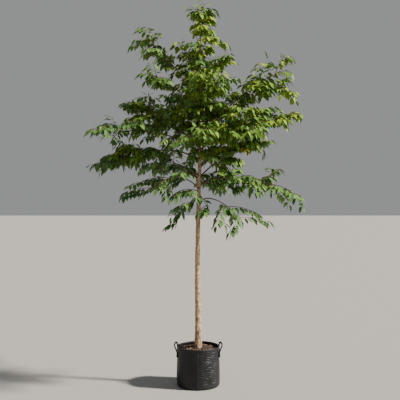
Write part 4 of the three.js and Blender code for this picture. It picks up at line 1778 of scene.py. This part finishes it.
@dataclass
class Trunk:
    """The trunk's bark, with its flare, its ripples and the scars of pruned side shoots."""

    line: TrunkLine
    sides: int = 32
    rings: int = 190
    crowding: float = 1.08
    scars: int = 11
    scar_height: float = 0.0026
    scar_heights: tuple[float, float] = (0.52, 1.66)
    scar_rise: float = 0.009
    scar_width: float = 0.007
    scar_dimple: float = 0.7
    bark_radius: float = 0.021
    foot_fade: float = 0.05
    least_relief: float = 0.3
    seed: int = 17

    RIPPLES = ((0.0007, (0.011, 0.011, 0.06), 11), (0.00035, (0.006, 0.006, 0.02), 12))
    FOOT_RIPPLES = ((0.0016, (0.009, 0.009, 0.03), 13),)

    def piece(self) -> None:
        """Model the trunk."""
        turns = turns_of(self.sides)
        rings = [
            self.line.point(share) + polar(self.line.flared_radius(share, turns), turns, 0.0)
            for share in np.linspace(0.0, 1.0, self.rings) ** self.crowding
        ]
        piece = loft("trunk_bark", rings)
        apply_modifier(piece, "SUBSURF", subdivision_type="SIMPLE", levels=1, render_levels=1)
        points = points_of(piece)
        share = np.clip(self.line.share(points[:, 2]), 0.0, 1.0)
        middle = self.line.point(share)
        out = points - middle
        away = np.linalg.norm(out, axis=1)
        angle = np.arctan2(out[:, 1], out[:, 0])
        radius = self.line.flared_radius(share, angle)
        relief = self._relief(points, share, angle, radius)
        side = away > 0.6 * radius
        grown = middle + out / np.maximum(away, 1e-9)[:, None] * (radius + relief)[:, None]
        grown[:, 2] = points[:, 2]
        points[side] = grown[side]
        move_points(piece, points)
        dress(piece, TRUNK_BARK, "bark", "trunk", sharp=50)

    def _relief(self, points: Array, share: Array, angle: Array, radius: Array) -> Array:
        """Work out how far the bark stands out.

        Args:
            points: The points of the trunk's side.
            share: Each point's share of the trunk.
            angle: Its turn round the trunk.
            radius: The smooth trunk's radius there.

        Returns:
            The relief at each point.
        """
        places = polar(self.bark_radius, angle, points[:, 2])
        relief = layered_noise(places, self.RIPPLES)
        rng = np.random.default_rng(self.seed)
        for i in range(self.scars):
            height = lerp(*self.scar_heights, (i + 0.6 * rng.random()) / self.scars)
            facing = rng.random() * math.tau
            turned = (angle - facing + math.pi) % math.tau - math.pi
            rise = (points[:, 2] - height) / self.scar_rise
            aside = turned * radius / self.scar_width
            knob = np.exp(-(rise**2) - aside**2)
            dimple = self.scar_dimple * np.exp(-4.0 * (rise**2 + aside**2))
            relief += self.scar_height * (knob - dimple) * (0.6 + 0.6 * rng.random())
        foot = np.exp(-share * self.line.length / self.foot_fade)
        relief += foot * layered_noise(places, self.FOOT_RIPPLES)
        return relief * np.clip(radius / self.bark_radius, self.least_relief, 1.0)


# Bag, handles and soil


@dataclass
class RootBag:
    """The fabric bag: a rounded foot, a puckered side with one sewn seam, and a folded hem."""

    height: float = 0.345
    foot_radius: float = 0.188
    belly_radius: float = 0.191
    belly_share: float = 0.28
    rim_radius: float = 0.181
    wall: float = 0.004
    corner: float = 0.014
    hem_height: float = 0.018
    hem_thickness: float = 0.0016
    draw_power: float = 1.4
    sides: int = 180
    step: float = 0.0027
    pucker_spacing: float = 0.0145
    pucker_depth: float = 0.003
    puckered_heights: tuple[Span, Span] = ((0.012, 0.05), (0.317, 0.329))
    gathered: tuple[Span, Span] = ((0.03, 0.12), (1.1, 1.5))
    slack: tuple[Span, Span] = ((1.6, 2.4), (4.4, 5.2))
    slack_share: float = 0.25
    noise_size: Span = (0.05, 0.04)
    sway: float = 0.0016
    seam_turn: float = math.radians(-91.8)
    seam_width: float = 0.009
    seam_height: float = 0.0016
    seam_valley: float = 0.0012
    hem_stitches: int = 172
    hem_stitch_reach: float = 0.36
    hem_stitch_height: float = 0.0045
    seam_stitch: float = 0.0066
    seam_stitch_reach: float = 0.0024
    seam_stitch_aside: float = 0.0028
    first_seam_stitch: float = 0.022

    NOISES = (((0.7, 0.5), 41), ((2.0, 1.1), 43), ((2.3, 2.7), 42), ((0.5, 0.4), 44))

    @property
    def hem_foot(self) -> float:
        """Return the height where the hem begins."""
        return self.height - self.hem_height

    def radius(self, height: Array | float) -> Array:
        """Give the outside's radius without its puckers.

        Args:
            height: Where, as heights.

        Returns:
            The radii.
        """
        share = height / self.height
        swell = np.sin(np.minimum(share / self.belly_share, 1.0) * math.pi * 0.5)
        drawn = np.maximum(0.0, (share - self.belly_share) / (1.0 - self.belly_share)) ** self.draw_power
        low = lerp(self.foot_radius, self.belly_radius, swell)
        return low - (self.belly_radius - self.rim_radius) * drawn

    def corner_profile(self, inset: float, count: int) -> list[tuple[float, float]]:
        """Round the lower corner.

        Args:
            inset: How far inside the outside the profile runs.
            count: How many places it has.

        Returns:
            The radius and height of each place, from the underside up.
        """
        bend = self.corner - inset
        middle = float(self.radius(self.corner)) - self.corner
        turns = [i / count * math.pi * 0.5 for i in range(count)]
        return [(middle + bend * math.sin(t), self.corner - bend * math.cos(t)) for t in turns]

    def outside(self, height: Array | float, angle: Array) -> Array:
        """Give the radius of the puckered outside.

        Args:
            height: Where, as heights.
            angle: Where, as turns round the bag.

        Returns:
            The radii.
        """
        height = np.broadcast_to(height, angle.shape)
        around = (angle - self.seam_turn + math.tau) % math.tau
        arc = around * self.rim_radius
        gathered, elsewhere = plateau(*self.gathered, around), plateau(*self.slack, around)
        across, upward = self.noise_size
        places = np.stack([arc / across, height / upward, np.zeros_like(arc)], axis=-1)
        bent, ripple, patchy, broad = (
            lattice_noise(places * (*scale, 1.0), seed)
            for scale, seed in self.NOISES
        )
        fold = 0.5 + 0.5 * np.cos(math.tau * (height / self.pucker_spacing + 0.9 * (bent + 0.45 * ripple)))
        puckered = (fold**1.4 - 0.4) * (0.15 + 0.85 * smooth_step(-0.45, 0.25, patchy))
        clear_of_ends = plateau(*self.puckered_heights, height)
        relief = self.pucker_depth * puckered * (gathered + self.slack_share * elsewhere) * clear_of_ends
        relief += self.sway * broad * smooth_step(0.0, 0.06, height)
        from_seam = np.minimum(around, math.tau - around) * self.rim_radius
        ridge = np.exp(-((from_seam / (0.55 * self.seam_width)) ** 4)) * self.seam_height
        valley = self.seam_valley * np.exp(-(((from_seam - self.seam_width) / 0.004) ** 2))
        hemmed = smooth_step(self.hem_foot - 0.001, self.hem_foot + 0.001, height)
        return self.radius(height) + relief + ridge - valley + self.hem_thickness * hemmed

    def piece(self) -> None:
        """Model the bag from the underside, over the hem and down the inside."""
        turns = turns_of(self.sides)
        heights = np.concatenate(
            [
                np.arange(self.corner, self.hem_foot - 0.001, self.step),
                [self.hem_foot - 0.001, self.hem_foot + 0.001],
                np.linspace(self.hem_foot + 0.005, self.height - 0.0012, 4),
            ]
        )
        edge = self.outside(self.height, turns)
        inner = edge - self.wall - self.hem_thickness
        profile = [(share * 0.17, 0.0) for share in (0.25, 0.6, 1.0)]
        profile += self.corner_profile(0.0, 5)
        profile += [(self.outside(height, turns), height) for height in heights]
        profile += [(edge - 0.0008, self.height), (edge - 0.0048, self.height)]
        profile += [(inner, self.height - 0.001), (inner, self.hem_foot)]
        inside = np.linspace(self.hem_foot - 0.003, self.corner, 18)
        profile += [(self.radius(height) - self.wall, height) for height in inside]
        profile += reversed(self.corner_profile(self.wall, 3))
        profile += [(0.12, self.wall), (0.04, self.wall)]
        piece = loft("root_bag_cloth", [polar(radius, turns, height) for radius, height in profile])
        self._lay_map(piece)
        dress(piece, BAG_CLOTH, "bag_fabric", "root_bag", sharp=42)

    def _lay_map(self, piece: Piece) -> None:
        """Lay a UV map in metres: round the bag and up its side, or flat on its underside.

        Args:
            piece: The bag.
        """
        mesh = piece.data
        points = points_of(piece)
        turns = np.arctan2(points[:, 1], points[:, 0])
        spots = np.zeros((len(mesh.loops), 2), np.float32)
        for face in mesh.polygons:
            corners = np.array(face.vertices)
            if abs(face.normal.z) > 0.7:
                spots[face.loop_indices] = points[corners, :2]
            else:
                around = turns[corners]
                around = around + math.tau * (around < around.max() - math.pi)
                spots[face.loop_indices] = np.stack([around * self.rim_radius, points[corners, 2]], axis=1)
        lay_map(mesh, "cloth", spots)

    def stitches(self) -> None:
        """Sew the hem and the seam with short stitches."""
        joined = JoinedParts()
        count = self.hem_stitches
        along = np.linspace(-self.hem_stitch_reach, self.hem_stitch_reach, 4)
        for i in range(count):
            turns = i / count * math.tau + along * math.tau / count
            self._stitch(joined, turns, self.hem_foot + self.hem_stitch_height)
        along = np.linspace(-self.seam_stitch_reach, self.seam_stitch_reach, 4)
        for aside in (-self.seam_stitch_aside, self.seam_stitch_aside):
            turn = self.seam_turn + aside / self.rim_radius
            for height in np.arange(self.first_seam_stitch, self.hem_foot - 0.008, self.seam_stitch):
                self._stitch(joined, np.full(4, turn), height + along)
        dress(joined.piece("bag_stitches"), THREAD, "bag_fabric")

    def _stitch(self, joined: JoinedParts, turns: Array, heights: Array | float) -> None:
        """Add one stitch that dips into the cloth at both ends.

        Args:
            joined: What it is added to.
            turns: The turns of its four places.
            heights: Their heights.
        """
        radius = self.outside(heights, turns) + np.array((-0.0006, 0.0004, 0.0004, -0.0006))
        joined.add(*tube(polar(radius, turns, heights), np.array((0.0005, 0.0007, 0.0007, 0.0)), 5))


@dataclass
class Handle:
    """A webbing loop whose ends are sewn to the outside of the bag."""

    bag: RootBag
    side: str
    heading: float
    front: float
    span: float = 0.094
    foot: float = 0.056
    crown: float = 0.029
    bulge: float = 0.018
    twist: float = 1.3
    patch: float = 0.036
    sewn: float = 0.14
    squareness: float = 0.75
    stand_off_power: float = 0.9
    lean: float = 0.4
    lean_power: float = 6.0
    width: float = 0.014
    thickness: float = 0.011
    gap: float = 0.0003
    proud: float = 0.00066
    most_proud: float = 0.002
    touching: float = 0.004
    settled: float = 0.02
    rings: int = 110
    stitch: float = 0.0042

    OUTLINE = (
        (-0.8, -0.92), (-0.25, -1.0), (0.3, -1.0), (0.72, -0.95), (0.93, -0.7), (1.0, -0.2), (0.98, 0.35),
        (0.84, 0.78), (0.5, 1.0), (0.0, 1.04), (-0.5, 1.02), (-0.86, 0.86), (-0.97, 0.42), (-0.93, 0.12),
        (-0.72, 0.0), (-0.93, -0.12), (-0.98, -0.5),
    )
    SEWN_BOX = ((0.012, -0.0042), (0.012, 0.0042), (0.118, 0.0042), (0.118, -0.0042))
    SEAMS = ((0, 1), (1, 2), (2, 3), (3, 0), (0, 2), (1, 3))

    def middle(self, share: Array) -> Array:
        """Follow the strap's middle line.

        Args:
            share: Where, as shares of the strap.

        Returns:
            The points, one a row.
        """
        around = np.clip((share - self.sewn) / (1.0 - 2.0 * self.sewn), 0.0, 1.0)
        swing = np.sin(math.pi * around)
        past = np.maximum(0.0, np.maximum(self.sewn - share, share - (1.0 - self.sewn)))
        height = self.bag.height - self.foot - past / self.sewn * self.patch
        height = height + (self.foot + self.crown) * swing**self.squareness
        sideways = np.cos(math.pi * around)
        stand_off = self.bulge * swing**self.stand_off_power * (1.0 - self.lean * swing**self.lean_power)
        stand_off = stand_off * np.maximum(0.0, 1.0 + self.front * self.twist * sideways)
        low = np.minimum(height, self.bag.height)
        radius = self.bag.radius(low) + self.gap + self.thickness / 2.0 + stand_off
        turn = self.heading - self.span / 2.0 * sideways / radius
        proud = self.proud * (1.0 - smooth_step(0.0, self.settled, stand_off))
        wall = self.bag.outside(low, turn) - self.bag.radius(low)
        lifted = np.maximum(proud, np.minimum(wall, self.most_proud))
        return polar(radius + lifted * (stand_off < self.touching), turn, height)

    def frames(self, share: Array) -> tuple[Array, Array, Array]:
        """Give the strap's directions.

        Args:
            share: Where, as shares of the strap.

        Returns:
            The middle, the direction across the strap and its face's direction, one a row each.
        """
        middle = self.middle(share)
        ahead, behind = np.minimum(share + 1e-3, 0.9995), np.maximum(share - 1e-3, 5e-4)
        tangent = unit(self.middle(ahead) - self.middle(behind))
        outward = unit(middle * (1.0, 1.0, 0.0))
        face = unit(outward - tangent * (outward * tangent).sum(axis=1, keepdims=True))
        return middle, np.cross(tangent, face), face

    def piece(self) -> None:
        """Model the strap, with a UV map in metres: along it, and round its section."""
        middle, across, face = self.frames(np.linspace(0.001, 0.999, self.rings))
        section = np.array(self.OUTLINE) * (self.width / 2.0, self.thickness / 2.0)
        rings = [
            middle[i] + section[:, :1] * across[i] + section[:, 1:] * face[i] for i in range(self.rings)
        ]
        piece = loft(f"handle_{self.side}_webbing", rings)
        points = points_of(piece)
        length = np.r_[0.0, np.cumsum(np.linalg.norm(np.diff(middle, axis=0), axis=1))]
        nearest = ((points[:, None] - middle) ** 2).sum(axis=2).argmin(axis=1)
        aside = ((points - middle[nearest]) * across[nearest]).sum(axis=1)
        spots = np.stack([length[nearest], aside], axis=1)
        lay_map(piece.data, "cloth", spots[corners_of(piece.data)])
        dress(piece, WEBBING, "webbing", f"handle_{self.side}", sharp=40)

    def stitches(self) -> None:
        """Sew a crossed box through each end of the strap."""
        joined = JoinedParts()
        for end in (0, 1):
            for seam in self.SEAMS:
                self._sew(joined, end, *(np.array(self.SEWN_BOX[corner]) for corner in seam))
        dress(joined.piece(f"handle_{self.side}_stitches"), THREAD, "webbing")

    def _sew(self, joined: JoinedParts, end: int, start: Array, finish: Array) -> None:
        """Add a row of stitches on one end of the strap.

        Args:
            joined: What they are added to.
            end: Which end of the strap.
            start: Where the row starts, as a share of the strap and a place across it.
            finish: Where it ends.
        """
        run = (finish - start) * (self.patch / self.sewn, 1.0)
        count = max(2, round(float(np.linalg.norm(run)) / self.stitch))
        proud = self.thickness / 2.0 + np.array((-0.001, 0.0005, 0.0005, -0.001))[:, None]
        for i in range(count):
            parts = (i + 0.5 + np.linspace(-0.36, 0.36, 4)) / count
            spots = start + (finish - start) * parts[:, None]
            middle, across, face = self.frames(spots[:, 0] if end == 0 else 1.0 - spots[:, 0])
            line = middle + across * spots[:, 1:] + face * proud
            joined.add(*tube(line, np.array((0.0005, 0.0006, 0.0006, 0.0)), 4))


@dataclass
class RootBall:
    """The root ball in the bag, with a crust of soil and a mulch of bark chips."""

    bag: RootBag
    drop: float = 0.036
    mound: float = 0.015
    flat_radius: float = 0.062
    slope_radius: float = 0.176
    slack: float = 0.0006
    sides: int = 96
    chips: int = 900
    chip_size: float = 0.0075
    chip_stretch: Place = (1.35, 0.9, 0.55)
    chip_flats: int = 7
    chip_seed: int = 61
    trunk_radius: float = 0.042
    edge: float = 0.013

    BUMPS = ((0.0024, 0.034, 51), (0.0012, 0.011, 52))

    @property
    def brim(self) -> float:
        """Return the soil's height at the bag's side."""
        return self.bag.height - self.drop

    def surface(self, radius: Array, turn: Array) -> Array:
        """Give the height of the soil.

        Args:
            radius: Distances from the middle.
            turn: Turns round it.

        Returns:
            The heights.
        """
        height = self.brim + self.mound * (1.0 - smooth_step(self.flat_radius, self.slope_radius, radius))
        return height + layered_noise(polar(radius, turn, 0.0), self.BUMPS)

    def piece(self) -> None:
        """Model the ball from its underside, up the bag's side and over its top."""
        turns = turns_of(self.sides)
        inset = self.bag.wall + self.slack
        profile = [(0.05, inset), (0.13, inset), *self.bag.corner_profile(inset, 4)]
        side = np.linspace(self.bag.corner, self.brim - 0.012, 14)
        profile += [(self.bag.radius(height) - inset, height) for height in side]
        top = np.linspace(self.bag.radius(self.brim) - inset, 0.012, 26)
        profile += [(radius, self.surface(np.full(self.sides, radius), turns)) for radius in top]
        piece = loft("root_ball_soil", [polar(radius, turns, height) for radius, height in profile])
        dress(piece, SOIL_EARTH, "potting_soil", "root_ball", sharp=40)

    def chip_pieces(self) -> None:
        """Scatter bark chips over the soil, joined by colour."""
        shapes = [self._chip(seed) for seed in range(5)]
        rng = np.random.default_rng(self.chip_seed)
        joined = [JoinedParts() for _ in CHIP_FINISHES]
        reach = float(self.bag.radius(self.brim)) - self.edge
        for i in range(self.chips):
            radius = np.sqrt(lerp(self.trunk_radius**2, reach**2, rng.random()))
            turn = rng.random() * math.tau
            shape, faces = shapes[i % len(shapes)]
            size = self.chip_size * (1.0 + 0.9 * rng.random() ** 2)
            stretch = size * np.array(self.chip_stretch) * (0.8 + 0.45 * rng.random(3))
            spin = rng.random() * math.tau
            lean = 0.5 * rng.standard_normal()
            (c, s), (d, t) = ((math.cos(angle), math.sin(angle)) for angle in (lean, spin))
            leaning, spinning = ((c, 0, s), (0, 1, 0), (-s, 0, c)), ((d, t, 0), (-t, d, 0), (0, 0, 1))
            points = shape * stretch @ np.array(leaning) @ np.array(spinning)
            height = self.surface(np.array([radius]), np.array([turn]))[0]
            lift = stretch[2] * (0.35 + 0.5 * rng.random())
            kind = rng.choice(len(joined), p=CHIP_SHARES)
            joined[kind].add(points + polar(radius, turn, height + lift), faces)
        for parts, finish in zip(joined, CHIP_FINISHES):
            dress(parts.piece(finish.name), finish, "potting_soil", sharp=30)

    def _chip(self, seed: int) -> tuple[Array, Faces]:
        """Model one chip from a small sphere, broken by flats, about a unit in radius.

        Args:
            seed: The chip's seed.

        Returns:
            Its points and the point numbers round its faces.
        """
        deselect_all()
        bpy.ops.mesh.primitive_ico_sphere_add(subdivisions=2, radius=1.0)
        chip = bpy.context.object
        points = points_of(chip)
        rng = np.random.default_rng(300 + seed)
        for _ in range(self.chip_flats):
            facing = unit(rng.standard_normal(3))
            beyond = np.maximum(0.0, points @ facing - (0.55 + 0.25 * rng.random()))
            points = points - beyond[:, None] * facing
        move_points(chip, points * (1.0 + 0.06 * lattice_noise(points * 2.1, seed))[:, None])
        apply_modifier(chip, "DECIMATE", ratio=0.42)
        placed, faces = points_of(chip), faces_of(chip)
        bpy.data.objects.remove(chip)
        return placed, faces


# Camera, floor and light


@dataclass(frozen=True)
class Studio:
    """The photograph's level view, a pale floor, a broad key light from the right and a soft fill."""

    camera: Place = EYE
    lens: float = 56.25
    sensor: float = 36.0
    clip_end: float = 400.0
    floor_size: float = 120.0
    floor_colour: Colour = (0.36, 0.355, 0.34, 1.0)
    floor_roughness: float = 0.9
    sky_colour: Colour = (0.86, 0.87, 0.88, 1.0)
    sky_strength: float = 0.35
    key_elevation: float = 36.0
    key_turn: float = 11.0
    key_strength: float = 9.8
    key_spread: float = 5.0
    key_colour: Place = (1.0, 0.93, 0.82)

    def set_camera(self) -> None:
        """Add the camera, level and straight on."""
        data = bpy.data.cameras.new("camera")
        data.lens, data.sensor_width, data.clip_end = self.lens, self.sensor, self.clip_end
        camera = bpy.data.objects.new("camera", data)
        camera.location = self.camera
        camera.rotation_euler = (math.radians(90.0), 0.0, 0.0)
        bpy.context.scene.collection.objects.link(camera)
        bpy.context.scene.camera = camera

    def lay_floor(self) -> None:
        """Add the floor, which isn't part of the object."""
        deselect_all()
        bpy.ops.mesh.primitive_plane_add(size=self.floor_size, location=(0.0, 0.0, 0.0))
        floor = bpy.context.object
        floor.name = "floor"
        floor.data.materials.append(Surface("floor", self.floor_colour, self.floor_roughness).material)

    def light(self) -> None:
        """Add the key light and the sky."""
        data = bpy.data.lights.new("key", "SUN")
        data.energy, data.angle = self.key_strength, math.radians(self.key_spread)
        data.color = self.key_colour
        key = bpy.data.objects.new("key", data)
        rise, turn = math.radians(self.key_elevation), math.radians(self.key_turn)
        towards = Vector((math.cos(rise) * math.cos(turn), -math.cos(rise) * math.sin(turn), math.sin(rise)))
        key.rotation_euler = towards.to_track_quat("Z", "Y").to_euler()
        bpy.context.scene.collection.objects.link(key)
        world = bpy.data.worlds.new("sky")
        world.use_nodes = True
        background = world.node_tree.nodes["Background"]
        background.inputs[0].default_value = self.sky_colour
        background.inputs[1].default_value = self.sky_strength
        bpy.context.scene.world = world


def main() -> None:
    """Build the tree and its bag in order."""
    logging.basicConfig(level=logging.INFO, format="%(message)s")
    studio = Studio()
    studio.set_camera()
    studio.lay_floor()
    studio.light()
    plan = TreePlan()
    crown = Crown(plan)
    crown.grow()
    crown.leaf_pieces()
    crown.twig_piece()
    crown.bough_piece()
    Trunk(plan.trunk).piece()
    bag = RootBag()
    ball = RootBall(bag)
    handles = [Handle(bag, "left", math.pi, -1.0), Handle(bag, "right", 0.0, 1.0)]
    bag.piece()
    bag.stitches()
    ball.piece()
    ball.chip_pieces()
    for handle in handles:
        handle.piece()
        handle.stitches()


if __name__ == "__main__":
    main()
